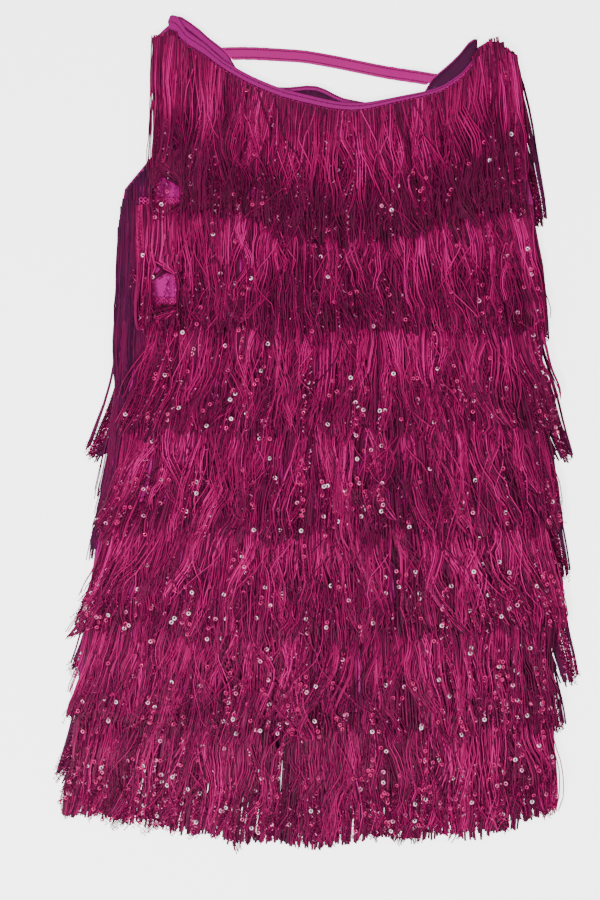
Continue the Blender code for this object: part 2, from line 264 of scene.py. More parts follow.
class FringeRow:
    """One row of fringe: where its header tape runs and where its locks end."""

    def __init__(self, side, number):
        self.side, self.number = side, number
        self.node = f"fringe_{side}_{number}"
        mesh_data = joined_copy(self.node)
        self.header_x, self.header_y = self.far_edge(mesh_data)
        self.left, self.right = self.header_x[0], self.header_x[-1]
        caps = [face for face in mesh_data.faces if face.normal.y < CAP_FACING]
        self.tips = sorted(self.tip(face) for face in caps if self.width(face) > TIP_NARROWEST)
        mesh_data.free()
        low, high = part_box(self.node)
        self.tip_left, self.tip_right = low.x, high.x
        self.pitch = (high.x - low.x) / len(self.tips)
        self.last = number == ROWS

    @staticmethod
    def far_edge(mesh_data):
        """The header's edge that is farthest from the hem, as x and y."""
        faces = [face for face in mesh_data.faces if face.normal.y > FAR_FACING]
        rim = sorted({(round(v.co.x, 5), round(v.co.y, 5)) for face in faces for v in face.verts})
        return np.array(rim).T

    @staticmethod
    def width(face):
        across = [vert.co.x for vert in face.verts]
        return max(across) - min(across)

    @staticmethod
    def tip(face):
        centre = face.calc_center_median()
        return centre.x, centre.y, centre.z

    def header(self, x):
        return np.interp(x, self.header_x, self.header_y)

    def let_down(self, left, right):
        """The outermost locks hang this much lower and a little wider than their plain solids."""
        for lock, drop, outward in ((0, left, -1), (-1, right, 1)):
            x, y, z = self.tips[lock]
            self.tips[lock] = (x + outward * min(LET_OUT, drop), y - drop, z)


rows = {(side, n): FringeRow(side, n) for side in (FRONT, BACK) for n in range(1, ROWS + 1)}
# how much lower the outermost tufts of a back row hang, at the left and at the right side
LET_DOWN = {1: (0, 20 * MM), 3: (20 * MM, 20 * MM), 4: (8 * MM, 42 * MM), 5: (46 * MM, 54 * MM),
            6: (48 * MM, 4 * MM)}
for number, drops in LET_DOWN.items():
    rows[BACK, number].let_down(*drops)
for row in rows.values():
    print(row.node, "locks", len(row.tips), "header", len(row.header_x),
          round(row.left, 3), round(row.right, 3))

# %% [markdown]
# ## How one tier of fringe is grown
# A real tier is several hundred yarns sewn to a tape. They don't hang evenly: they gather in flat
# ribbons a finger wide, cross their neighbours and end in pointed tufts. Modelling each yarn by
# hand is hopeless, and particle hair would not follow our own plan of ribbons. So Python lays a
# few dozen guide lines a row, each with a width, a height and a painted shade at every point, and one
# Geometry Nodes tree grows the yarns: it copies each guide, gives every copy its own place across
# and through the ribbon, bends it with noise, trims it and sweeps a three-sided profile along it.

# %% A small helper for building node trees
class Tree:
    """A Geometry Nodes tree under construction: add nodes, link them, name its inputs."""

    def __init__(self, name, inputs):
        self.group = bpy.data.node_groups.new(name, "GeometryNodeTree")
        face = self.group.interface
        face.new_socket("Geometry", in_out="INPUT", socket_type="NodeSocketGeometry")
        for label, kind, value in inputs:
            socket = face.new_socket(label, in_out="INPUT", socket_type="NodeSocket" + kind)
            if value is not None:
                socket.default_value = value
        face.new_socket("Geometry", in_out="OUTPUT", socket_type="NodeSocketGeometry")
        self.start = self.group.nodes.new("NodeGroupInput").outputs
        self.end = self.group.nodes.new("NodeGroupOutput").inputs

    def add(self, kind, wired=(), **settings):
        """A node with its settings made and its inputs linked or set, given as index: source."""
        node = self.group.nodes.new(kind)
        for label, value in settings.items():
            setattr(node, label, value)
        for index, source in dict(wired).items():
            if isinstance(source, bpy.types.NodeSocket):
                self.group.links.new(source, node.inputs[index])
            else:
                node.inputs[index].default_value = source
        return node

    def maths(self, operation, *values):
        return self.add("ShaderNodeMath", enumerate(values), operation=operation).outputs[0]

    def plus(self, first, second):
        return self.maths("ADD", first, second)

    def minus(self, first, second):
        return self.maths("SUBTRACT", first, second)

    def times(self, first, second):
        return self.maths("MULTIPLY", first, second)

    def vector(self, operation, first, second):
        node = self.add("ShaderNodeVectorMath", {0: first, 1: second}, operation=operation)
        return node.outputs[0]

    def scaled(self, vector, factor):
        node = self.add("ShaderNodeVectorMath", {0: vector, 3: factor}, operation="SCALE")
        return node.outputs[0]

    def joined(self, *parts):
        """A vector made of its x, y and z."""
        return self.add("ShaderNodeCombineXYZ", enumerate(parts)).outputs[0]

    def parts(self, vector):
        """The x, y and z of a vector."""
        return self.add("ShaderNodeSeparateXYZ", {0: vector}).outputs

    def position(self):
        return self.add("GeometryNodeInputPosition").outputs[0]

    def moved(self, geometry, offset):
        return self.add("GeometryNodeSetPosition", {0: geometry, 3: offset}).outputs[0]

    def curves(self, lines):
        return self.add("GeometryNodeMeshToCurve", {0: lines}).outputs[0]

    def circle(self, sides, radius):
        return self.add("GeometryNodeCurvePrimitiveCircle", {0: sides, 4: radius}).outputs[0]

    def ring(self, sides, radius, thickness):
        """A closed ring with a thin three-sided section."""
        wired = {0: self.circle(sides, radius), 1: self.circle(3, thickness)}
        return self.add("GeometryNodeCurveToMesh", wired).outputs[0]

    def stations(self, curves, spacing):
        """Points along curves at this distance, as the node's outputs."""
        wired = {0: curves, 2: spacing}
        return self.add("GeometryNodeCurveToPoints", wired, mode="LENGTH").outputs

    def mix(self, share, low, high):
        return self.add("ShaderNodeMix", {0: share, 2: low, 3: high}).outputs[0]

    def read(self, name):
        """A named attribute as a number field."""
        return self.add("GeometryNodeInputNamedAttribute", {0: name}, data_type="FLOAT").outputs[0]

    def keep(self, geometry, name, value, domain="POINT"):
        """The geometry with a number stored on it under this name."""
        wired = {0: geometry, 2: name, 3: value}
        node = self.add("GeometryNodeStoreNamedAttribute", wired, data_type="FLOAT", domain=domain)
        return node.outputs[0]

    def dice(self, low, high, seed, offset):
        """A random number for each element: the tree's seed shifted by an offset."""
        wired = {2: low, 3: high, 8: self.plus(seed, offset)}
        return self.add("FunctionNodeRandomValue", wired).outputs[1]


def grown(tree, mesh, name, values):
    """The plain mesh that a tree makes from a start mesh, with its inputs set by identifier."""
    carrier = linked(name + "_guides", mesh)
    modifier = carrier.modifiers.new("grow", "NODES")
    modifier.node_group = tree.group
    sockets = {item.name: item.identifier for item in tree.group.interface.items_tree
               if item.in_out == "INPUT"}
    for label, value in values.items():
        modifier[sockets[label]] = value
    graph = bpy.context.evaluated_depsgraph_get()
    result = bpy.data.meshes.new_from_object(carrier.evaluated_get(graph))
    carrier.modifiers.remove(modifier)
    bpy.data.objects.remove(carrier)
    result.name = name
    piece = linked(name, result)
    triangles = sum(len(polygon.vertices) - 2 for polygon in result.polygons)
    print(name, triangles, "triangles")
    return piece


# %% Lines for a tree to start from
def line_mesh(lines):
    """Several polylines as one mesh of edges."""
    points, edges = [], []
    for line in lines:
        first = len(points)
        points.extend(line)
        edges.extend((i, i + 1) for i in range(first, len(points) - 1))
    mesh = bpy.data.meshes.new("lines")
    mesh.from_pydata(points, edges, [])
    return mesh


# %% The tree that grows yarns on guide lines
WANDER_SHARES = (1.0, 0.6, 0.35)
PART_REACH = 1.7
# painted shade through a ribbon: its lowest strands darker, its top ones brighter
LIFT_PAINTED_SHADE = (0.2, 1.05)
LUCK_TONE = 0.14
TIP_THICKNESS = 0.65
# what every strand draws for itself, and from which range
DRAWN = (("stray_root", -0.15, 0.15), ("stray_tip", -0.5, 0.5), ("lift", 0, 1),
         ("apart", -0.22, 0.22), ("cut", 0, 1), ("luck", -1, 1))


def wander_field(tree, size, amount):
    """A soft noise offset that differs from curve to curve by its phase attribute."""
    phase = tree.read("phase")
    seen = tree.vector("ADD", tree.scaled(tree.position(), size), tree.joined(phase, phase))
    noise = tree.add("ShaderNodeTexNoise", noise_dimensions="3D")
    tree.group.links.new(seen, noise.inputs["Vector"])
    noise.inputs["Detail"].default_value = 1.5
    noise.inputs["Scale"].default_value = 1.0
    centred = tree.vector("SUBTRACT", noise.outputs["Color"], (0.5, 0.5, 0.5))
    return tree.vector("MULTIPLY", tree.scaled(centred, amount), WANDER_SHARES)


def parted(tree, geometry, centre, size):
    """Points in a rounded box pushed out of it, to the side that their yarn is sewn on."""
    away = tree.vector("DIVIDE", tree.vector("SUBTRACT", tree.position(), centre), size)
    across, down = tree.parts(away)[:2]
    inside = tree.minus(1.0, tree.maths("POWER", tree.maths("ABSOLUTE", down), 4.0))
    rim = tree.maths("POWER", tree.maths("MAXIMUM", inside, 0.0), 0.25)
    side = tree.maths("SIGN", tree.minus(tree.read("root_x"), tree.parts(centre)[0]))
    short = tree.maths("MAXIMUM", tree.minus(rim, tree.times(side, across)), 0.0)
    near = tree.maths("LESS_THAN", tree.maths("ABSOLUTE", across), PART_REACH)
    present = tree.maths("GREATER_THAN", rim, 0.0)
    push = tree.times(tree.times(short, side), tree.times(near, present))
    return tree.moved(geometry, tree.joined(tree.times(push, tree.parts(size)[0])))


def above_floor(tree, geometry, level):
    """Points that would sink into the floor lifted to this level."""
    missing = tree.minus(level, tree.parts(tree.position())[2])
    return tree.moved(geometry, tree.joined(0, 0, tree.maths("MAXIMUM", missing, 0.0)))


def copied(tree, guides, seed):
    """Each guide as its number of strands, all with their own place in the ribbon and luck."""
    count = tree.read("strands")
    copies = tree.add("GeometryNodeDuplicateElements", {0: tree.curves(guides), 2: count},
                      domain="SPLINE")
    order = tree.maths("DIVIDE", tree.plus(copies.outputs[1], 0.5), count)
    even = tree.minus(tree.times(order, 2.0), 1.0)
    geometry = tree.keep(copies.outputs[0], "even", even, domain="CURVE")
    for offset, (name, low, high) in enumerate(DRAWN):
        geometry = tree.keep(geometry, name, tree.dice(low, high, seed, offset), domain="CURVE")
    return tree.keep(geometry, "phase", tree.plus(tree.read("bundle"), tree.read("apart")))


def spread_out(tree, geometry, wander, wander_size):
    """Strands moved to their places across and through the ribbon, looser towards the tip."""
    run = tree.add("GeometryNodeSplineParameter").outputs[0]
    stray = tree.mix(run, tree.read("stray_root"), tree.read("stray_tip"))
    sideways = tree.times(tree.plus(tree.read("even"), stray), tree.read("half_width"))
    upwards = tree.times(tree.read("lift"), tree.read("height"))
    loose_root = tree.maths("MINIMUM", tree.times(run, 4.0), 0.6)
    loose_tip = tree.times(tree.maths("POWER", run, 2.0), 1.3)
    amount = tree.times(tree.times(wander, tree.read("wild")), tree.plus(loose_root, loose_tip))
    along_seam = tree.times(sideways, tree.read("slope"))
    spread = tree.joined(sideways, along_seam, upwards)
    return tree.moved(geometry, tree.vector("ADD", wander_field(tree, wander_size, amount), spread))


def strand_tone(tree):
    """How bright a strand is painted: its guide's painted shade, darker low in the ribbon and brighter
    on top as painted shade, with some random luck.
    """
    depth = tree.mix(tree.read("lift"), *LIFT_PAINTED_SHADE)
    return tree.plus(tree.times(tree.read("shade"), depth), tree.times(tree.read("luck"), LUCK_TONE))


def swept_strands(tree, geometry, radius, shortest):
    """Strands cut to pointed tufts and swept with a three-sided profile that thins to the tip."""
    aside = tree.times(tree.maths("ABSOLUTE", tree.read("even")), 0.5)
    reach = tree.mix(tree.plus(aside, tree.times(tree.read("cut"), 0.5)), 1.0, shortest)
    trimmed = tree.add("GeometryNodeTrimCurve", {0: geometry, 3: reach}, mode="FACTOR").outputs[0]
    slim = tree.mix(tree.add("GeometryNodeSplineParameter").outputs[0], 1.0, TIP_THICKNESS)
    wired = {0: trimmed, 1: tree.circle(3, radius), 2: tree.times(slim, tree.read("thick")), 3: True}
    return tree.add("GeometryNodeCurveToMesh", wired).outputs[0]


def strand_tree():
    tree = Tree("grow_strands", (
        ("Yarn radius", "Float", 0.9 * MM),
        ("Wander", "Float", 3.0 * MM),
        ("Wander size", "Float", 38.0),
        ("Shortest", "Float", 0.88),
        ("Seed", "Int", 1),
        ("Yarn", "Material", None),
        ("Upper parting", "Vector", None),
        ("Upper size", "Vector", (MM, MM, 1)),
        ("Lower parting", "Vector", None),
        ("Lower size", "Vector", (MM, MM, 1)),
    ))
    guides, radius, wander, wander_size, shortest, seed, yarn = tree.start[:7]
    upper, upper_size, lower, lower_size = tree.start[7:11]
    geometry = spread_out(tree, copied(tree, guides, seed), wander, wander_size)
    geometry = parted(tree, geometry, upper, upper_size)
    geometry = parted(tree, geometry, lower, lower_size)
    geometry = above_floor(tree, geometry, tree.times(radius, tree.read("thick")))
    geometry = tree.keep(geometry, "tone", strand_tone(tree))
    finish_tree(tree, swept_strands(tree, geometry, radius, shortest), yarn)
    return tree


def finish_tree(tree, geometry, material):
    """Every tree ends so: smooth shading, real geometry, its material."""
    smooth = tree.add("GeometryNodeSetShadeSmooth", {0: geometry}).outputs[0]
    plain = tree.add("GeometryNodeRealizeInstances", {0: smooth}).outputs[0]
    done = tree.add("GeometryNodeSetMaterial", {0: plain, 2: material}).outputs[0]
    tree.group.links.new(done, tree.end[0])


STRANDS = strand_tree()

# %% [markdown]
# ## Guide lines for a row
# A guide leaves the header tape, gathers into a ribbon, wanders a little and ends at its lock's
# tip. Its height follows the tier: it starts flat on the tape, rises with the loft of the fringe,
# dips just before the next header and climbs over it.

# %% Heights of a tier
PITCH = 104.0 * MM
LENGTH = 141.0 * MM
FRONT_LOW = 9.9 * MM

# how far from the root, and the lower and upper level of the yarns there, above the panel
FRONT_LEVELS = np.array((
    (0, 0.8, 2.8), (20, 0.8, 4.4), (50, 0.8, 6.6), (78, 1.0, 8.4), (92, 4.2, 7.6),
    (106, 5.2, 9.6), (124, 6.6, 9.8), (141, 7.0, 8.8), (160, 7.0, 8.6),
)) * MM
LAST_LEVELS = np.array((
    (0, 0.8, 2.8), (20, 0.8, 4.4), (50, -0.6, 6.2), (80, -2.0, 5.0), (110, -3.6, 1.5),
    (136, -4.6, -2.2), (160, -4.8, -2.6),
)) * MM
BACK_LEVELS = np.array((
    (0, 4.2, 5.0), (30, 2.0, 4.9), (70, 0.9, 4.8), (88, 0.9, 3.2), (141, 0.9, 2.2), (170, 0.9, 2.2),
)) * MM
BACK_LAST_LEVELS = np.array((
    (0, 4.2, 5.0), (30, 2.0, 4.9), (70, 0.9, 4.6), (136, 0.9, 2.0), (170, 0.9, 2.0),
)) * MM
# painted shade along a tier: distance from the root in millimetres and how bright the yarns are painted
# there, darkest in the dip before the next header tape
PAINTED_SHADES = np.array((
    (0, 0.50), (12, 0.74), (28, 0.95), (60, 1.0), (78, 0.76), (88, 0.55), (98, 0.60),
    (112, 0.78), (141, 0.74), (160, 0.70),
))


def along(table, run, column):
    """A column of a table read at these distances from the root."""
    return np.interp(run, table[:, 0], table[:, column])


# %% Guides of one row
def sides_at(outline, y):
    """Left and right end of an outline at this y, infinite where it isn't."""
    ring = np.vstack((outline, outline[:1]))
    found = [x0 + (x1 - x0) * (y - y0) / (y1 - y0)
             for (x0, y0), (x1, y1) in zip(ring[:-1], ring[1:]) if min(y0, y1) <= y < max(y0, y1)]
    return (min(found), max(found)) if found else (-np.inf, np.inf)


class Tier:
    """Where the yarns of a side run: the levels of its rows and the panel that they lie on."""

    def __init__(self, panel, base, levels, last_levels, points):
        mesh_data = joined_copy(panel)
        top = max(mesh_data.faces, key=lambda face: face.calc_area() * face.normal.z)
        self.outline = np.array([(v.co.x, v.co.y) for v in top.verts])
        mesh_data.free()
        self.base, self.levels, self.last_levels, self.points = base, levels, last_levels, points

    def past_side(self, x, y):
        """How far x lies outside the panel at this height, zero on it."""
        left, right = sides_at(self.outline, y)
        return max(0.0, left - x, x - right) if np.isfinite(left) else 0.0


FRONT_TIER = Tier("front_panel", FRONT_LOW, FRONT_LEVELS, LAST_LEVELS, 12)
BACK_TIER = Tier("back_panel", 0.0, BACK_LEVELS, BACK_LAST_LEVELS, 10)
TAPE_DEPTH = 7.5
EDGE_REACH = 40 * MM
# how yarns at the left and right side run to their tips, row by row: below 1 they swing out at
# once, above 1 they hang close to the panel first
SIDE_HANG = ((0, 1.6, 2.4, 2.4, 2.4, 2.4, 2.0, 1.6), (0, 0.6, 0.6, 1.7, 0.8, 1.1, 2.0, 1.3))
# painted light and shade of a row against the others: from and to a distance from the root in
# millimetres, how bright it is painted there
ROW_PAINTED_SHADES = {1: (60, 105, 1.1, 0.60), 2: (25, 85, 1.18, 0.97), 5: (25, 85, 0.94, 1.0),
              6: (25, 85, 0.86, 0.93), 7: (25, 85, 0.76, 0.94)}
DROOP = 3.6 * MM
DROOP_OVER = 22 * MM
TURNS = (0.6, 1.5)
MIDDLE_HANG = 1.15
# how much of its bow and of its wildness a yarn keeps at the very side of its row
SIDE_BOW, SIDE_WILD = 0.25, 0.3
LATE_SHADE = 20 * MM
# an exponent below 1 sets the points of a guide closer together at its tip
POINT_SPACING = 0.8
BUNDLES = (-50, 50)
# random brightness ranges of the guides; the under and between layers are painted darker than the
# ribbons on top, as painted shade deep in the fringe
PLAIN, AT_SIDE = (0.62, 1.12), (0.9, 1.5)
UNDER, RIBBON, BETWEEN = (0.35, 0.62), (0.66, 1.15), (0.30, 0.6)


def guide_line(row, root, tip, share, edge, free, swing, curl, dice):
    """A guide seen from above: it bows to one side and swings out to its tip."""
    turns = dice.uniform(*TURNS)
    bow = free * swing * dice.uniform(-1, 1) * np.sin(math.pi * share)
    hang = np.interp(edge, (0, 1), (MIDDLE_HANG, SIDE_HANG[root[0] > 0][row.number]))
    x = root[0] + (tip[0] - root[0]) * share**hang + bow * np.sin(2 * math.pi * turns * share)
    return x + free * curl * share**3, root[1] - share * (root[1] - tip[1])


def guide_shade(row, run, bright, dice):
    """How bright a guide is painted at these distances from its root: the painted shade along the tier
    and of its row, times a random brightness.
    """
    late = run + dice.normal(0, 1) * LATE_SHADE
    shade = np.interp(late, PAINTED_SHADES[:, 0] * MM, PAINTED_SHADES[:, 1]) * dice.uniform(*bright)
    if row.number in ROW_PAINTED_SHADES:
        near, far, start, end = ROW_PAINTED_SHADES[row.number]
        shade = shade * np.interp(run, (near * MM, far * MM), (start, end))
    return shade


def guide(tier, row, root_x, tip, strands, half_width, heights, dice, swing=3.0 * MM, begin=0.0,
          bright=PLAIN, curl=0.0, thick=1.0, wild=1.0):
    """One guide line as rows of x, y, z and the numbers that the strand tree reads."""
    share = begin + (1 - begin) * np.linspace(0, 1, tier.points) ** POINT_SPACING
    root_y = float(row.header(root_x)) - (1.0 if row.number == 1 else TAPE_DEPTH) * MM
    run = share * (root_y - tip[1])
    edge = max(row.left - root_x, root_x - row.right) / EDGE_REACH + 1
    # at the ends of a row all yarns but the frizz hang quietly
    free, calm = 1.0, 1.0
    if wild <= 1:
        free = np.interp(edge, (0, 1), (1.0, SIDE_BOW))
        calm = np.interp(edge, (0.2, 1), (1.0, SIDE_WILD))
    x, y = guide_line(row, (root_x, root_y), tip, share, edge, free, swing, curl, dice)
    levels = tier.last_levels if row.last else tier.levels
    low, high = along(levels, run, 1), along(levels, run, 2)
    past = np.array([tier.past_side(*place) for place in zip(x, y)])
    droop = DROOP * np.clip(past / DROOP_OVER, 0, 1) * (tier is FRONT_TIER)
    start, end = heights
    z = tier.base + low + (high - low) * start - droop
    shade = guide_shade(row, run, bright, dice)
    widths = np.interp(share, (0, 0.4, 0.85, 1), half_width)
    slope = (row.header(root_x + 4 * MM) - row.header(root_x - 4 * MM)) / (8 * MM) * (1 - share)
    same = np.ones(tier.points)
    return np.column_stack((
        x, y, z, widths, (high - low) * (end - start), shade, same * strands, slope,
        same * root_x, same * thick, same * dice.uniform(*BUNDLES), same * wild * calm,
    ))


GUIDE_NUMBERS = ("half_width", "height", "shade", "strands", "slope", "root_x", "thick",
                 "bundle", "wild")


def guide_mesh(guides):
    """Guide lines as one mesh of polylines with their numbers as point attributes."""
    guides = list(guides)
    table = np.concatenate(guides)
    ends = set(np.cumsum([len(points) for points in guides]) - 1)
    edges = [(i, i + 1) for i in range(len(table) - 1) if i not in ends]
    mesh = bpy.data.meshes.new("guides")
    mesh.from_pydata([tuple(point) for point in table[:, :3]], edges, [])
    for column, label in enumerate(GUIDE_NUMBERS, start=3):
        layer = mesh.attributes.new(label, "FLOAT", "POINT")
        layer.data.foreach_set("value", table[:, column].astype(np.float32))
    return mesh


def lock_roots(row):
    """Left and right end of each lock's share of the header tape."""
    edges = np.linspace(row.left, row.right, len(row.tips) + 1)
    return list(zip(edges[:-1], edges[1:]))


def lock_of(row, root):
    """The number of the lock that a place on the header belongs to."""
    share = (root - row.left) / (row.right - row.left)
    return min(int(share * len(row.tips)), len(row.tips) - 1)


# %% Front rows: under layer, ribbons and strays
OVERLAP = 26 * MM
YARN_WIDE = 1.75 * MM
LONGER = 5 * MM
TIP_INSET = 4 * MM
RIBBONS_AT = (0.2, 0.5, 0.8)
# how much lower than their plain solids the hem's tips hang, at these x
HEM_X = (-0.25, -0.215, -0.175, -0.155, -0.07, 0.02, 0.045, 0.09, 0.13, 0.17, 0.21, 0.25)
HEM_DROP = np.array((8, -6, -13, -5, 5, 9, -3, -2, 5, 12, 4, -4)) * MM
TANGLED = (4, 5, 6)
# side: where the shoulder yarns start, how far above the header and how far they fall outwards
SHOULDERS = {-1: (-0.146, -0.163, 5 * MM, 1 * MM), 1: (0.164, 0.198, 9 * MM, 6 * MM)}
ENDS = (-3, 8, 20, 34)
SIDE_STRIP = 35 * MM


def tip_below(row, x, y):
    """The tip's y, let down where the first row would end above the second row's header."""
    if row.number > 1:
        return y
    return min(y, float(rows[row.side, 2].header(x)) - OVERLAP)


def within(row, x):
    """A tip's x kept inside the reach of its row."""
    return float(np.clip(x, row.tip_left + TIP_INSET, row.tip_right - TIP_INSET))


def hung(row, x, y):
    """A tip's y with the length that its yarns hang past the plain solid, or short of it."""
    return tip_below(row, x, y) - (float(np.interp(x, HEM_X, HEM_DROP)) if row.last else LONGER)


def held_back(row, root, least):
    """How freely a yarn bends: less than all at both sides of its row."""
    return 1.0 if row.left + SIDE_STRIP < root < row.right - SIDE_STRIP else least


def ribbon_guide(row, root, tip, dice, width):
    """A gathered ribbon: parallel yarns side by side that fan out again towards the tip."""
    strands = int(dice.integers(7, 14))
    gathered = strands * YARN_WIDE / 2 * dice.uniform(0.6, 1.0)
    widths = np.array((max(gathered, width * 0.24), gathered, gathered * 1.1, gathered * 0.6))
    low = dice.uniform(0.35, 0.75)
    return guide(FRONT_TIER, row, root, tip, strands, widths, (low, low + 0.3), dice, 10 * MM,
                 bright=RIBBON, curl=held_back(row, root, 0.15) * dice.normal(0, 11) * MM)


def side_guides(row, dice):
    """Yarns that hang close along both sides of the panel, so that no jersey shows there."""
    for root, outward in ((row.left, -1), (row.right, 1)):
        bulging = row.number == 1 and outward > 0
        for inward in (-4 * MM, 4 * MM) if bulging else (2 * MM, 9 * MM):
            tip_y = float(row.header(root)) - LENGTH * dice.uniform(0.86, 0.98)
            path = guide(FRONT_TIER, row, root, (root, tip_y), 6, np.full(4, 5 * MM), (0, 0.5),
                         dice, 2 * MM, bright=UNDER, thick=1.4)
            sides = np.array([sides_at(FRONT_TIER.outline, y)[outward > 0] for y in path[:, 1]])
            sides = np.where(np.isfinite(sides), sides, root) - outward * inward
            share = np.linspace(0, 1, len(path)) ** (0.4 if bulging else 1.0)
            path[:, 0] = path[:, 0] * (1 - share) + (sides + outward * 5 * MM * share) * share
            yield path


def shoulder_guides(row, dice):
    """Yarns that start on the shoulders above the first header and fall outwards over them."""
    for side, (inner, outer, rise, out) in SHOULDERS.items():
        for root in np.linspace(inner, outer, 7):
            tip = (root + side * dice.uniform(0, 6) * MM, 0.25)
            path = guide(FRONT_TIER, row, root, tip, 7, np.full(4, 5 * MM), (0.1, 0.6), dice, 4 * MM)
            turn = np.clip(np.linspace(0, 1, len(path)) * 4, 0, 1)
            near = (root - inner) / (outer - inner)
            path[:, 0] += side * out * (near + 0.3) * (1 - (1 - turn) ** 2)
            path[:, 1] += rise * (1 - 0.6 * near) * np.cos(math.pi / 2 * turn)
            yield path


def lock_guides(row, dice):
    """For each lock of a front row a wide under layer and three ribbons on top of it."""
    strands = 17 if row.last else 8
    for (left, right), (tip_x, tip_y, _) in zip(lock_roots(row), row.tips):
        width = right - left
        outer = left < row.left + 10 * MM or right > row.right - 10 * MM
        spread = 0.28 if outer else 0.55 if row.last else 0.45
        tip_y = hung(row, tip_x, tip_y)
        near_tip = (0.4 if outer else 0.62) * row.pitch
        wide = np.array((0.6 * width, 0.62 * width, near_tip, spread * row.pitch))
        end = (tip_x, tip_y + (0 if row.last else dice.uniform(0, 12)) * MM)
        yield guide(FRONT_TIER, row, (left + right) / 2, end, strands, wide,
                    (0, 0.35), dice, bright=UNDER, thick=2.4, wild=0.1)
        for part in RIBBONS_AT:
            root = left + width * (part + dice.uniform(-0.14, 0.14))
            shorter = dice.uniform(-4, 9) if row.last else dice.choice(ENDS) + dice.uniform(-6, 9)
            aside = row.pitch * dice.normal(0, 0.15 if outer else 0.3 if row.last else 0.5)
            tip = (within(row, tip_x + aside), tip_y + shorter * MM)
            yield ribbon_guide(row, root, tip, dice, width)


def between_guides(row, dice):
    """Under yarns that fill the gaps between neighbouring locks of a front row."""
    lift = (3 if row.last else 9) * MM
    strands = 11 if row.last else 5
    for (left, right), tip, after in zip(lock_roots(row), row.tips, row.tips[1:]):
        end = ((tip[0] + after[0]) / 2, tip_below(row, tip[0], max(tip[1], after[1])) + lift)
        wide = np.array((0.6, 0.6, 0.55, 0.5)) * (right - left)
        yield guide(FRONT_TIER, row, right, end, strands, wide, (0, 0.3), dice,
                    bright=BETWEEN, thick=2.4, wild=0.15)


def stray_guides(row, dice):
    """Single yarns that lie loose on top of a front row."""
    each, curls, thick = (4, 28, 0.8) if row.number in TANGLED else (2, 18, 1.0)
    for _ in range(each * len(row.tips)):
        root = dice.uniform(row.left, row.right)
        tip_x, tip_y, _ = row.tips[lock_of(row, root)]
        tip_y = tip_below(row, tip_x, tip_y)
        tip = (within(row, tip_x + dice.normal(0, 12) * MM), tip_y + dice.uniform(2, 30) * MM)
        inner = held_back(row, root, 0.1)
        yield guide(FRONT_TIER, row, root, tip, 1, np.full(4, 1 * MM), (0.95, 1.1), dice,
                    inner * 16 * MM, curl=inner * dice.normal(0, curls) * MM, thick=thick)


def front_guides(row, dice):
    """All guides of one front row, the hidden ones first."""
    yield from side_guides(row, dice)
    if row.number == 1:
        yield from shoulder_guides(row, dice)
    for layer in (lock_guides, between_guides, stray_guides):
        yield from layer(row, dice)


# %% Back rows: dense tufts where they show at the sides, few yarns where they don't
def back_lock(row, lock):
    """How one lock of a back row is filled: strands, half widths at its tip and further numbers."""
    outer = not 1 < lock < len(row.tips) - 2
    if outer:
        return {"strands": 26 if row.last else 22, "more": 10, "ends": (0.42, 0.30),
                "second": 0.7, "thick": 1.9, "bright": AT_SIDE}
    return {"strands": 20 if row.last else 4, "more": 3,
            "ends": (0.6, 0.55) if row.last else (0.55, 0.42),
            "second": 0.33, "thick": 2.6, "bright": PLAIN}


def back_guides(row, dice):
    """One wide guide and a second one on it for each lock of a back row."""
    for lock, ((left, right), (tip_x, tip_y, _)) in enumerate(zip(lock_roots(row), row.tips)):
        tip_y = hung(row, tip_x, tip_y)
        middle, width = (left + right) / 2, right - left
        plan = back_lock(row, lock)
        bright, ends = plan["bright"], plan["ends"]
        if lock in (0, len(row.tips) - 1):
            tip_x -= 0.08 * row.pitch * math.copysign(1, tip_x)
            ends = (0.30, 0.22)
        wide = np.array((0.56 * width, 0.5 * width, ends[0] * row.pitch, ends[1] * row.pitch))
        yield guide(BACK_TIER, row, middle, (tip_x, tip_y), plan["strands"], wide,
                    (0, 0.8), dice, bright=bright, thick=plan["thick"], wild=0.2)
        tip = (tip_x + row.pitch * dice.uniform(-0.04, 0.04), tip_y + dice.uniform(0, 8) * MM)
        yield guide(BACK_TIER, row, middle, tip, plan["more"], wide * plan["second"],
                    (0.4, 1), dice, 4 * MM, bright=bright, thick=1.5)


# %% Strands that come round the left fold
FOLD_ROWS = (1, 2, 3, 4)
FOLD_LEVEL = 8.3 * MM
FOLD_COUNT = 14


def top_of(outline, x):
    """The highest y of an outline at this x."""
    return sides_at(outline[:, ::-1], x)[1]


FOLD_LEVELS = np.array(((0, 0.0, 1.2), (60, 0.0, 1.6), (141, 0.2, 1.4), (170, 0.2, 1.4))) * MM
FOLD_TIER = Tier("back_panel", FOLD_LEVEL, FOLD_LEVELS, FOLD_LEVELS, 10)


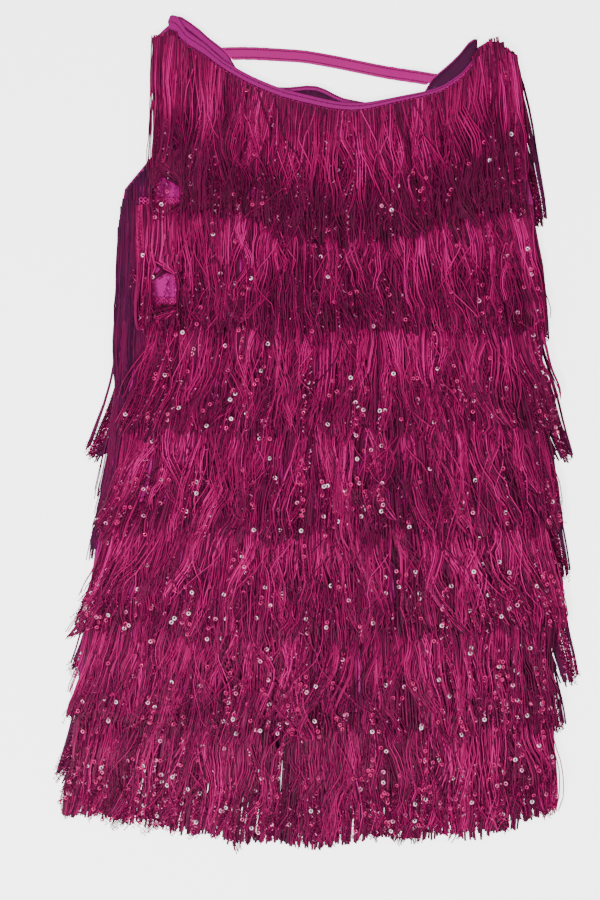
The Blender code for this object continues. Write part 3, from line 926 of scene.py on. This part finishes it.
def fold_guides(row, dice):
    """Guides on the strip of back panel that shows past the front panel's left side."""
    header_y = float(rows[BACK, max(row.number, 2)].header(row.left)) - 2 * MM
    header_y += PITCH * 0.45 * (row.number == 1)
    outline = BACK_TIER.outline
    left = sides_at(outline, min(header_y, rows[BACK, 2].header(0) - 5 * MM))[0]
    left -= 4 * MM * (row.number > 1)
    right = sides_at(FRONT_TIER.outline, header_y)[0] - 3 * MM
    for root in np.linspace(left, right, FOLD_COUNT):
        inner = max(root - 1.5 * MM, outline[:, 0].min() + 1 * MM)
        y = min(header_y, top_of(outline, inner) - dice.uniform(1, 4) * MM)
        share = np.linspace(0, 1, FOLD_TIER.points)
        run = share * (LENGTH * dice.uniform(0.9, 1.0))
        end = sides_at(outline, y - run[-1])[0] + (root - left) - 2 * MM
        x = root + (end - root) * share + 3 * MM * dice.uniform(-1, 1) * np.sin(5 * share)
        low, high = along(FOLD_LEVELS, run, 1), along(FOLD_LEVELS, run, 2)
        # painted shade along the tier, times a random brightness
        shade = np.interp(run, PAINTED_SHADES[:, 0] * MM, PAINTED_SHADES[:, 1]) * dice.uniform(0.25, 1.45)
        widths = np.interp(share, (0, 0.5, 1), (1.8 * MM, 2.4 * MM, 3.4 * MM))
        flat = np.zeros(FOLD_TIER.points)
        yield np.column_stack(
            (x, y - run, FOLD_LEVEL + low, widths, high - low, shade, flat + 5, flat,
             flat + root, flat + 1, flat + dice.uniform(*BUNDLES), flat + 0.5)
        )


# %% Grow both sides
SEED = 11
FRONT_WANDER, BACK_WANDER = 15 * MM, 9 * MM
HEM_PARTINGS = ((-0.039, -0.311, 3.5 * MM, 16 * MM), (-0.024, -0.310, 5 * MM, 12 * MM))
# places where the yarns of a front row part: two a row at most, as x, y and half sizes
PARTINGS = {
    1: ((-0.153, 0.237, 15 * MM, 23 * MM), (-0.143, 0.287, 4.5 * MM, 11 * MM)),
    2: ((-0.155, 0.139, 14 * MM, 23 * MM), None),
    6: HEM_PARTINGS,
    7: HEM_PARTINGS,
}


def grow_row(row, guides, yarn, wander):
    """The yarns of one row as a plain piece that stands for the row's solid."""
    values = {"Seed": SEED * row.number, "Yarn": yarn, "Wander": wander,
              "Shortest": 0.94 if row.last else 0.88}
    places = PARTINGS.get(row.number, ()) if row.side == FRONT else ()
    for label, place in zip(("Upper", "Lower"), places):
        if place:
            x, y, half_width, half_height = place
            values[label + " parting"] = (x, y, 0)
            values[label + " size"] = (half_width, half_height, 1)
    piece = grown(STRANDS, guide_mesh(guides), f"strands_{row.side}_{row.number}", values)
    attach(piece, "root")
    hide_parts(row.node)


for number in range(1, ROWS + 1):
    dice = np.random.default_rng(SEED + number)
    row = rows[FRONT, number]
    grow_row(row, front_guides(row, dice), front_yarn, FRONT_WANDER)
    row = rows[BACK, number]
    guides = list(back_guides(row, dice))
    if number in FOLD_ROWS:
        guides += fold_guides(row, dice)
    grow_row(row, guides, shaded_back_yarn, BACK_WANDER)

# %% [markdown]
# ## Sequin threads
# Between the plain yarns run finer crimped threads that carry the sequins. They show best in the
# dark lower third of each tier. The same kind of guide lines serves both: one tree crimps a thin
# thread along them, another sets flat holed sequins at random places on the same wandering line.

# %% The tree that crimps a thread
SEQUIN_WANDER = 16 * MM
TILT, FULL_TURN = 0.45, 6.28
FLATNESS = 0.22
COARSE_STEP = 3.2 * MM
THREAD_WANDER_SIZE = 34.0


def curves_on_guides(tree, seed, wander):
    """Guide lines as curves that wander, each with its own phase and luck."""
    curves = tree.curves(tree.start[0])
    curves = tree.keep(curves, "phase", tree.dice(*BUNDLES, seed, 3), domain="CURVE")
    curves = tree.keep(curves, "luck", tree.dice(0, 1, seed, 5), domain="CURVE")
    even = tree.add("GeometryNodeResampleCurve", {0: curves, 3: COARSE_STEP}, mode="LENGTH")
    amount = tree.times(wander, tree.read("wild"))
    return tree.moved(even.outputs[0], wander_field(tree, THREAD_WANDER_SIZE, amount))


def crimp_tree():
    tree = Tree("crimp_threads", (
        ("Seed", "Int", 1),
        ("Wander", "Float", SEQUIN_WANDER),
        ("Crimp length", "Float", 2.0 * MM),
        ("Crimp width", "Float", 1.3 * MM),
        ("Thread radius", "Float", 0.52 * MM),
        ("Thread", "Material", None),
    ))
    _, seed, wander, length, width, radius, thread = tree.start[:7]
    curves = curves_on_guides(tree, seed, wander)
    fine = tree.add("GeometryNodeResampleCurve", {0: curves, 3: length}, mode="LENGTH").outputs[0]
    index = tree.add("GeometryNodeInputIndex").outputs[0]
    step = tree.minus(tree.maths("MODULO", index, 2.0), 0.5)
    rise = tree.minus(tree.maths("MODULO", index, 3.0), 1.0)
    aside = tree.times(tree.times(step, 2.0), width)
    bent = tree.moved(fine, tree.joined(aside, 0, tree.times(rise, tree.times(width, 0.5))))
    bent = above_floor(tree, bent, radius)
    # random bright points along the thread: painted glints of its metallic fibre
    painted_glint = tree.times(tree.maths("POWER", tree.dice(0, 1, seed, 11), 5.0), 0.75)
    tone = tree.plus(painted_glint, tree.mix(tree.read("luck"), 0.15, 0.6))
    wired = {0: tree.keep(bent, "tone", tone), 1: tree.circle(3, radius), 3: True}
    swept = tree.add("GeometryNodeCurveToMesh", wired).outputs[0]
    finish_tree(tree, swept, thread)
    return tree


def sequin_tree():
    tree = Tree("scatter_sequins", (
        ("Seed", "Int", 1),
        ("Wander", "Float", SEQUIN_WANDER),
        ("Spacing", "Float", 5.2 * MM),
        ("Share kept", "Float", 0.35),
        ("Sequin radius", "Float", 1.5 * MM),
        ("Rim", "Float", 0.85 * MM),
        ("Sequin", "Material", None),
    ))
    _, seed, wander, spacing, kept, radius, rim, sequin = tree.start[:8]
    curves = curves_on_guides(tree, seed, wander)
    places = tree.stations(curves, spacing)[0]
    # a random tone for each sequin: the high ones are painted as glinting pale pink and white
    toned = tree.keep(places, "tone", tree.dice(0, 1, seed, 7))
    ring = tree.ring(9, radius, rim)
    disc = tree.add("GeometryNodeTransform", {0: ring, 3: (1, 1, FLATNESS)}).outputs[0]
    chosen = tree.maths("LESS_THAN", tree.dice(0, 1, seed, 8), kept)
    turn = tree.add("FunctionNodeRandomValue",
                    {0: (-TILT, -TILT, 0), 1: (TILT, TILT, FULL_TURN), 8: tree.plus(seed, 9)},
                    data_type="FLOAT_VECTOR").outputs[0]
    turned = tree.add("FunctionNodeEulerToRotation", {0: turn}).outputs[0]
    set_down = tree.add("GeometryNodeInstanceOnPoints",
                        {0: toned, 1: chosen, 2: disc, 5: turned}).outputs[0]
    finish_tree(tree, set_down, sequin)
    return tree


CRIMPS, SEQUINS = crimp_tree(), sequin_tree()


# %% Thread and sequin finishes
def glitter_finish(name, stops, roughness, metallic, glow):
    """A shiny finish whose colour follows the tone attribute and that glows in that colour by its glow
    strength, a painted glow.
    """
    material, nodes, links, shader = finish_named(name, roughness)
    ramp = tone_ramp(nodes, links, stops)
    links.new(ramp.outputs["Color"], shader.inputs["Base Color"])
    links.new(ramp.outputs["Color"], shader.inputs["Emission Color"])
    shader.inputs["Emission Strength"].default_value = glow
    shader.inputs["Metallic"].default_value = metallic
    return material


# the sequins' own pink, then pale pink and white as painted glints for sequins and thread points that
# seem to catch the light
SEQUIN_PINK = (0.62, 0.02, 0.17, 1)
PAINTED_GLINT_PINK = (0.95, 0.30, 0.55, 1)
PAINTED_GLINT_WHITE = (1.0, 0.82, 0.90, 1)
sequin_thread = glitter_finish(
    "sequin_thread",
    ((0.0, PLUM), (0.5, DEEP_MAGENTA), (0.85, MAGENTA), (1.0, PAINTED_GLINT_PINK)),
    roughness=0.3, metallic=0.35, glow=0.0,
)
# a random share of the sequins is painted pale pink to white as painted reflections, and their emission
# is a painted glow
sequin_gloss = glitter_finish(
    "sequin_gloss",
    ((0.0, SEQUIN_PINK), (0.6, SEQUIN_PINK), (0.76, PAINTED_GLINT_PINK), (0.92, PAINTED_GLINT_WHITE)),
    roughness=0.12, metallic=0.2, glow=0.4,
)
sequin_gloss.node_tree.nodes["Principled BSDF"].inputs["Coat Weight"].default_value = 0.6

# %% Threads and sequins on the front rows
# for each row how many threads it has and which share of their places carries a sequin
SEQUIN_PLAN = {1: (80, 0.03), 2: (90, 0.05), 3: (96, 0.09), 4: (100, 0.13), 5: (100, 0.14),
               6: (100, 0.15), 7: (150, 0.15)}


def thread_guides(row, dice, count):
    """Guides for sequin threads, on top of the lower part of a row."""
    for _ in range(count):
        root = row.left + (row.right - row.left) * dice.beta(0.8, 0.8)
        tip_x, tip_y, _ = row.tips[lock_of(row, root)]
        tip_y = tip_below(row, tip_x, tip_y) + dice.uniform(4, 22) * MM
        tip = (within(row, tip_x + dice.normal(0, 10) * MM), tip_y)
        begin = dice.choice((0.05, 0.3, 0.5, 0.55, 0.62))
        height = dice.uniform(0.45, 1.05)
        yield guide(FRONT_TIER, row, root, tip, 1, np.zeros(4), (height, height), dice,
                    12 * MM, begin, curl=dice.normal(0, 6) * MM)


# curled threads at an outermost lock of each side's rows, and how high above its under layer
FRIZZ = {FRONT: (4, 0.1, 1.1), BACK: (18, 1.2, 3.2)}
HEM_FRIZZ = 13


def frizz_guides(tier, row, dice):
    """Short curled threads at the tips of a row: all along the hem, at both sides elsewhere."""
    locks = len(row.tips)
    hem = row.last and row.side == FRONT
    around, lowest, highest = FRIZZ[row.side]
    for lock in range(locks) if hem else (0, 1, locks - 2, locks - 1):
        tip_x, tip_y, _ = row.tips[lock]
        root = row.left + (row.right - row.left) * ((lock + 0.5) / locks)
        outermost = lock in (0, locks - 1)
        for _ in range(HEM_FRIZZ if hem else around if outermost else around // 2):
            aside = dice.normal(0, 8) * MM
            end = (within(row, tip_x + aside),
                   tip_below(row, tip_x, tip_y) + dice.uniform(-4, 5) * MM + abs(aside) * 0.9)
            height = dice.uniform(lowest, highest)
            begin = dice.uniform(0.62, 0.84) if hem else dice.uniform(0.5, 0.8)
            yield guide(tier, row, root, end, 1, np.zeros(4), (height, height), dice,
                        6 * MM, begin, wild=1.6 if hem else 1.3)


threads, sequins = [], []
for number, (count, share) in SEQUIN_PLAN.items():
    dice = np.random.default_rng(SEED + 50 + number)
    guides = list(thread_guides(rows[FRONT, number], dice, count))
    seed = 100 * number
    frizz = list(frizz_guides(FRONT_TIER, rows[FRONT, number], dice))
    frizz += frizz_guides(BACK_TIER, rows[BACK, number], dice)
    threads.append(grown(CRIMPS, guide_mesh(guides + frizz), f"sequin_threads_{number}",
                         {"Seed": seed, "Thread": sequin_thread}))
    sequins.append(grown(SEQUINS, guide_mesh(guides), f"sequins_{number}",
                         {"Seed": seed, "Share kept": share, "Sequin": sequin_gloss}))
for piece in threads:
    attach(piece, "root")
for piece in sequins:
    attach(piece, "root")

# %% [markdown]
# ## Header tapes
# Every row of yarns is looped over a narrow crochet tape that is sewn to the jersey. It is nearly
# always hidden, but at the left side the yarns part and its loops show. Small rings set along each
# header make the loops, in two lines on the first front rows, where they can be seen.

# %% The tree that loops a header tape
def tape_tree():
    tree = Tree("loop_header_tape", (
        ("Loop spacing", "Float", 4.0 * MM),
        ("Loop radius", "Float", 2.0 * MM),
        ("Yarn radius", "Float", 0.75 * MM),
        ("Yarn", "Material", None),
    ))
    lines, spacing, loop, radius, yarn = tree.start[:5]
    # the loops are painted near the bright end of the yarn's ramp, painted light against the shade of
    # the yarns over them, with a random spread
    bright = tree.add("FunctionNodeRandomValue", {2: 0.0, 3: 1.0}).outputs[1]
    tone = tree.plus(0.95, tree.times(bright, 0.45))
    toned = tree.keep(tree.stations(tree.curves(lines), spacing)[0], "tone", tone)
    wired = {0: toned, 2: tree.ring(6, loop, radius)}
    finish_tree(tree, tree.add("GeometryNodeInstanceOnPoints", wired).outputs[0], yarn)
    return tree


TAPE = tape_tree()
TWO_LINES, ONE_LINE = (1.8 * MM, 5.4 * MM), (3.6 * MM,)
TAPES = (
    # side, level, yarn, distance between loops, the rows whose tape is two lines of loops wide
    (FRONT, FRONT_LOW + 0.8 * MM, front_yarn, 4.4 * MM, (1, 2, 3)),
    (BACK, 5.2 * MM, shaded_back_yarn, 9 * MM, ()),
)
for side, base, yarn, spacing, wide_rows in TAPES:
    lines = []
    for number in range(1, ROWS + 1):
        row = rows[side, number]
        xs = np.linspace(row.left + 1 * MM, row.right - 1 * MM, 60)
        for down in TWO_LINES if number in wide_rows else ONE_LINE:
            lines.append([(x, float(row.header(x)) - down, base) for x in xs])
    piece = grown(TAPE, line_mesh(lines), f"header_tapes_{side}",
                  {"Yarn": yarn, "Loop spacing": spacing})
    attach(piece, "root")

# %% [markdown]
# ## Jersey panels
# Under the fringe are two pieces of stretch jersey, cut as one tube. Only slivers of them show:
# at the left edge between the first rows and inside the low back neck. Each is a thin closed
# shell on its solid's outline, cut into a fine grid so that it can carry soft wrinkles.

# %% Jersey panels
CLOTH = 0.8 * MM
GRID = 9 * MM
WRINKLE = 0.4 * MM
CREASE_APART = 0.047
FOLD_APART = 0.071


def wrinkle(x, y):
    """Soft creases across the tube and a few that run down it, in metres."""
    across = math.sin(2 * math.pi * (y + 0.18 * x) / CREASE_APART + 2 * math.sin(9 * x))
    down = math.sin(2 * math.pi * (x - 0.25 * y) / FOLD_APART)
    return WRINKLE * (0.6 * across + 0.4 * down)


def smooth_piece(name, mesh_data):
    """A bmesh as a smoothly shaded object in the scene."""
    bmesh.ops.recalc_face_normals(mesh_data, faces=mesh_data.faces)
    mesh = bpy.data.meshes.new(name)
    mesh_data.to_mesh(mesh)
    mesh_data.free()
    mesh.shade_smooth()
    return linked(name, mesh)


def cloth_shell(name, outline, middle):
    """A thin closed shell on a flat outline, cut into a grid and gently wrinkled."""
    mesh_data = bmesh.new()
    mesh_data.faces.new([mesh_data.verts.new((x, y, 0)) for x, y in outline])
    lows, highs = outline.min(0), outline.max(0)
    for axis, normal in enumerate(((1, 0, 0), (0, 1, 0))):
        for step in np.arange(lows[axis] + GRID, highs[axis], GRID):
            place = [0, 0, 0]
            place[axis] = step
            everything = mesh_data.verts[:] + mesh_data.edges[:] + mesh_data.faces[:]
            bmesh.ops.bisect_plane(mesh_data, geom=everything, plane_co=place, plane_no=normal)
    bmesh.ops.recalc_face_normals(mesh_data, faces=mesh_data.faces)
    if mesh_data.faces[:][0].normal.z < 0:
        bmesh.ops.reverse_faces(mesh_data, faces=mesh_data.faces)
    area = sum(face.calc_area() for face in mesh_data.faces)
    lower = bmesh.ops.duplicate(mesh_data, geom=mesh_data.faces[:])
    lower_faces = [item for item in lower["geom"] if isinstance(item, bmesh.types.BMFace)]
    bmesh.ops.reverse_faces(mesh_data, faces=lower_faces)
    lower_verts = {vert for face in lower_faces for vert in face.verts}
    for vert in mesh_data.verts:
        side = -1 if vert in lower_verts else 1
        vert.co.z = middle + side * CLOTH / 2 + wrinkle(vert.co.x, vert.co.y)
    rims = [edge for edge in mesh_data.edges if edge.is_boundary]
    bmesh.ops.bridge_loops(mesh_data, edges=rims)
    piece = smooth_piece(name, mesh_data)
    print(name, "flat area", round(area, 4), "m2,", len(piece.data.polygons), "faces")
    return piece, area


def ribbed_cloth(name, light, dark, roughness, sheen, clouds, ribs, relief):
    """Cloth with a cloudy dye and fine ribs, each given by the numbers of its own texture."""
    material, nodes, links, shader = finish_named(name, roughness, sheen)
    group = varied(nodes, light, dark, *clouds)
    links.new(group.outputs["Color"], shader.inputs["Base Color"])
    place = nodes.new("ShaderNodeTexCoord")
    wave = nodes.new("ShaderNodeTexWave")
    wave.bands_direction, scale, distortion = ribs
    wave.inputs["Scale"].default_value = scale
    wave.inputs["Distortion"].default_value = distortion
    links.new(place.outputs["Object"], wave.inputs["Vector"])
    raised(nodes, links, shader, wave.outputs["Fac"], *relief)
    return material


# shiny stretch jersey with very fine knit ribs: scale and amount of its clouds, direction, scale
# and distortion of its ribs, height and strength of its relief
JERSEY = {"roughness": 0.38, "sheen": 0.15, "clouds": (90.0, 0.5),
          "ribs": ("X", 900.0, 1.0), "relief": (0.15 * MM, 0.4)}
jersey = ribbed_cloth("jersey", JERSEY_PINK, JERSEY_SHADE, **JERSEY)
for node, tier in (("front_panel", FRONT_TIER), ("back_panel", BACK_TIER)):
    low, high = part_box(node)
    piece, area = cloth_shell(node + "_cloth", tier.outline, (low.z + high.z) / 2)
    piece.data.materials.append(jersey)
    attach(piece, "root")
    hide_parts(node)

# %% [markdown]
# ## Neck bindings and back strap
# The neck is finished with a folded satin binding and the open back is held by a flat elastic
# strap. Both are soft bands: a rounded closed section swept along a line. The solids give that
# line, its width and its levels, so the finer bands here are read from them, and fine stitch
# lines are set on top with a small Geometry Nodes tree.

# %% Bands swept over their solids
SECTION = 14
BAND_STEP = 2.5 * MM
TOP_ROUNDING = 0.7
PUCKER = 2.4


def band_lines(node, degree):
    """Lower and upper edge and levels of a band's solid, as functions of x."""
    points = np.array([tuple(v.co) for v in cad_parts[node].data.vertices])
    points = np.unique(np.round(points, 5), axis=0)
    fit = np.polyfit(points[:, 0], points[:, 1], degree)
    above = points[:, 1] > np.polyval(fit, points[:, 0])
    lines = []
    for part, pick in ((points[~above], min), (points[above], max)):
        stations = {}
        for x, y, _ in part:
            stations[x] = pick(stations.get(x, y), y)
        lines.append(np.array(sorted(stations.items())).T)
    levels = {}
    for x, _, z in points:
        low, high = levels.get(x, (z, z))
        levels[x] = (min(low, z), max(high, z))
    at = sorted(levels)
    lows = np.array([levels[x][0] for x in at])
    highs = np.array([levels[x][1] for x in at])
    return lines[0], lines[1], np.array(at), lows, highs


def band_point(lines, share, across, lift):
    """A point on a band: share along it, across from edge to edge, lift from base to top."""
    lower, upper, at, lows, highs = lines
    low_x = lower[0][0] + (lower[0][-1] - lower[0][0]) * share
    high_x = upper[0][0] + (upper[0][-1] - upper[0][0]) * share
    x = low_x + (high_x - low_x) * across
    y_low, y_high = np.interp(low_x, *lower), np.interp(high_x, *upper)
    low, high = np.interp(x, at, lows), np.interp(x, at, highs)
    return x, y_low + (y_high - y_low) * across, low + (high - low) * lift


def end_width(gone, left, round_over):
    """How much of its width a band has near its rounded ends."""
    near = min(gone, left, round_over) / round_over
    return math.sqrt(max(0.02, 1 - (1 - near) ** 2))


def powered(value, power):
    """A power that keeps the sign, which makes a circle rounder or more square."""
    return math.copysign(abs(value) ** power, value)


def band_steps(lines, reach):
    """Shares along a band that lie at even distances, and the band's length."""
    shares = np.linspace(-reach, 1 + reach, 400)
    path = np.array([band_point(lines, share, 0.5, 0)[:2] for share in shares])
    travelled = np.concatenate(((0,), np.cumsum(np.hypot(*np.diff(path, axis=0).T))))
    steps = int(travelled[-1] / BAND_STEP)
    return np.interp(np.linspace(0, travelled[-1], steps), travelled, shares), travelled[-1]


def swept_band(name, lines, rounded, ripple, reach, round_over):
    """A closed band with a rounded top, a softly puckered surface and rounded ends."""
    shares, length = band_steps(lines, reach)
    steps = len(shares)
    mesh_data = bmesh.new()
    rings = []
    for step, share in enumerate(shares):
        ring = []
        gone = step * BAND_STEP
        wide = end_width(gone, (steps - 1 - step) * BAND_STEP, round_over)
        for k in range(SECTION):
            turn = 2 * math.pi * k / SECTION
            across = 0.5 - 0.5 * wide * powered(math.cos(turn), rounded)
            lift = 0.5 + 0.5 * powered(math.sin(turn), TOP_ROUNDING)
            lift -= ripple * (0.5 + 0.5 * math.sin(PUCKER * step)) * (lift > 0.5)
            ring.append(mesh_data.verts.new(band_point(lines, share, across, lift)))
        rings.append(ring)
    for ring, after in zip(rings, rings[1:]):
        for k in range(SECTION):
            j = (k + 1) % SECTION
            mesh_data.faces.new((ring[k], ring[j], after[j], after[k]))
    mesh_data.faces.new(rings[0])
    mesh_data.faces.new(rings[-1])
    print(name, "runs", round(length / MM), "mm in", steps, "steps")
    return smooth_piece(name, mesh_data), shares


# %% The tree that sets stitches along a line
def stitch_tree():
    tree = Tree("set_stitches", (
        ("Spacing", "Float", 3.2 * MM),
        ("Stitch length", "Float", 2.7 * MM),
        ("Thread radius", "Float", 0.4 * MM),
        ("Thread", "Material", None),
    ))
    lines, spacing, length, radius, thread = tree.start[:5]
    places = tree.stations(tree.curves(lines), spacing)
    stitch = tree.add("GeometryNodeMeshCylinder", {0: 4, 1: 2, 3: radius, 4: length}).outputs[0]
    turned = tree.add("FunctionNodeAlignRotationToVector", axis="Z")
    tree.group.links.new(places["Tangent"], turned.inputs["Vector"])
    set_down = tree.add("GeometryNodeInstanceOnPoints",
                        {0: places[0], 2: stitch, 5: turned.outputs[0]}).outputs[0]
    finish_tree(tree, set_down, thread)
    return tree


STITCHES = stitch_tree()


# %% Satin binding, elastic strap and sewing thread
# shiny woven bands with faint cross ribs
SATIN = {"sheen": 0.1, "clouds": (60.0, 0.55), "ribs": ("DIAGONAL", 420.0, 0.0),
         "relief": (0.2 * MM, 0.35)}
binding_satin = ribbed_cloth("binding_satin", BINDING_PINK, JERSEY_SHADE, 0.3, **SATIN)
strap_elastic = ribbed_cloth("strap_elastic", STRAP_PINK, JERSEY_SHADE, 0.36, **SATIN)
sewing_thread = ribbed_cloth("sewing_thread", DEEP_MAGENTA, PLUM, 0.45, **SATIN)

BANDS = (
    # node, finish, slot, roundness, ripple, reach past its ends, end rounding, stitch lines
    ("neck_binding_front", binding_satin, "binding", 0.8, 0.18, 0.0, 5 * MM, (0.12, 0.6)),
    ("neck_binding_back", binding_satin, "binding", 0.8, 0.18, 0.0, 5 * MM, (0.15, 0.8)),
    ("back_strap", strap_elastic, "strap", 0.55, 0.12, 0.02, 0.1 * MM, (0.2, 0.8)),
)
# the front binding's upper edge stands higher at the left shoulder and rolls in to the right
CREASE_LIFT = 3.0 * MM
CREASE_TO = -0.100
ROLLED_IN = 3.2 * MM
ROLLED_FROM = 0.0
LOWER_EDGE_DOWN = 1.2 * MM
SEAM_LIFT = 0.97


def shaped_binding(lines):
    """The front binding's edges moved from its solid's to where the photo's band has them."""
    upper = lines[1]
    near = np.clip((CREASE_TO - upper[0]) / 0.03, 0, 1)
    rolled = np.clip((upper[0] - ROLLED_FROM) / 0.08, 0, 1)
    upper[1] += CREASE_LIFT * near - ROLLED_IN * rolled
    lines[0][1] -= LOWER_EDGE_DOWN


for node, finish, slot, rounded, ripple, reach, round_over, seams in BANDS:
    lines = band_lines(node, 3 if node == "back_strap" else 9)
    if node == "neck_binding_front":
        shaped_binding(lines)
    piece, shares = swept_band(node + "_band", lines, rounded, ripple, reach, round_over)
    piece.data.materials.append(finish)
    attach(piece, "root")
    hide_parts(node)
    tops = [[band_point(lines, share, seam, SEAM_LIFT) for share in shares[2:-2]]
            for seam in seams]
    sewn = grown(STITCHES, line_mesh(tops), node + "_stitches", {"Thread": sewing_thread})
    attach(sewn, "root")

# %% [markdown]
# ## Inside of the back neck
# Where the back neckline stands above the front one, the inside of the back panel shows between
# the two bindings, dark in its own shade. It is the same jersey, cut here to the space between
# the front band and the back one, a piece for each place where it shows, and that shade is painted
# into it as a darker copy of the jersey. At the right shoulder it reaches nearly to the back band's
# top, elsewhere to its middle.

# %% Inside of the back neck
INSIDE_LEVEL = 7.9 * MM
INSIDE_LEAST = 2.5 * MM
INSIDE_FROM = -0.060
INSIDE_TO = 0.175
SHOULDER_FROM = 0.06
INSIDE_STEP = 1.5 * MM
# the inside jersey: a darker copy of the jersey, as painted shade
inside_jersey = ribbed_cloth("jersey_inside_painted_shade", JERSEY_PAINTED_SHADE, BACK_SHADE_PLUM, **JERSEY)


def middle_line(node, across):
    """A line along a band's solid as y over a row of x, outside its ends not a number."""
    lower, upper = band_lines(node, 9)[:2]
    xs = np.arange(INSIDE_FROM, INSIDE_TO, INSIDE_STEP)
    middle = np.interp(xs, *lower) * (1 - across) + np.interp(xs, *upper) * across
    known = (xs > max(lower[0][0], upper[0][0])) & (xs < min(lower[0][-1], upper[0][-1]))
    return xs, np.where(known, middle, np.nan)


xs, front_y = middle_line("neck_binding_front", 0.3)
_, half_y = middle_line("neck_binding_back", 0.45)
_, most_y = middle_line("neck_binding_back", 0.8)
back_y = np.where(xs < SHOULDER_FROM, half_y, most_y)
showing = (back_y - front_y) > INSIDE_LEAST
starts = np.flatnonzero(showing & ~np.roll(showing, 1))
stops = np.flatnonzero(showing & ~np.roll(showing, -1))
for count, (start, stop) in enumerate(zip(starts, stops), start=1):
    if stop - start < 4:
        continue
    part = slice(start, stop + 1)
    below = np.column_stack((xs[part], front_y[part]))
    above = np.column_stack((xs[part], back_y[part]))[::-1]
    piece, _ = cloth_shell(f"neck_inside_{count}", np.vstack((below, above)), INSIDE_LEVEL)
    piece.data.materials.append(inside_jersey)
    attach(piece, "root")

# %% [markdown]
# ## Floor
# The floor is plain and pale. The camera sees it nearly white, as a lit studio floor, and the
# costume gets only a little of that light back.

# %% Floor and finish
FLOOR_REACH = 3
SEEN_GLOW, GLOW = 2.5, 0.4
corners = [(x * FLOOR_REACH, y * FLOOR_REACH, 0) for x, y in ((-1, -1), (1, -1), (1, 1), (-1, 1))]
floor_data = bpy.data.meshes.new("floor")
floor_data.from_pydata(corners, [], [(0, 1, 2, 3)])
floor = linked("floor", floor_data)
floor_paint, nodes, links, shader = finish_named("floor_paint", 0.9)
shader.inputs["Base Color"].default_value = (0.95, 0.95, 0.95, 1)
shader.inputs["Emission Color"].default_value = (1, 1, 1, 1)
path = nodes.new("ShaderNodeLightPath")
glow = nodes.new("ShaderNodeMath")
glow.operation = "MULTIPLY_ADD"
glow.inputs[1].default_value = SEEN_GLOW
glow.inputs[2].default_value = GLOW
links.new(path.outputs["Is Camera Ray"], glow.inputs[0])
links.new(glow.outputs[0], shader.inputs["Emission Strength"])
floor_data.materials.append(floor_paint)
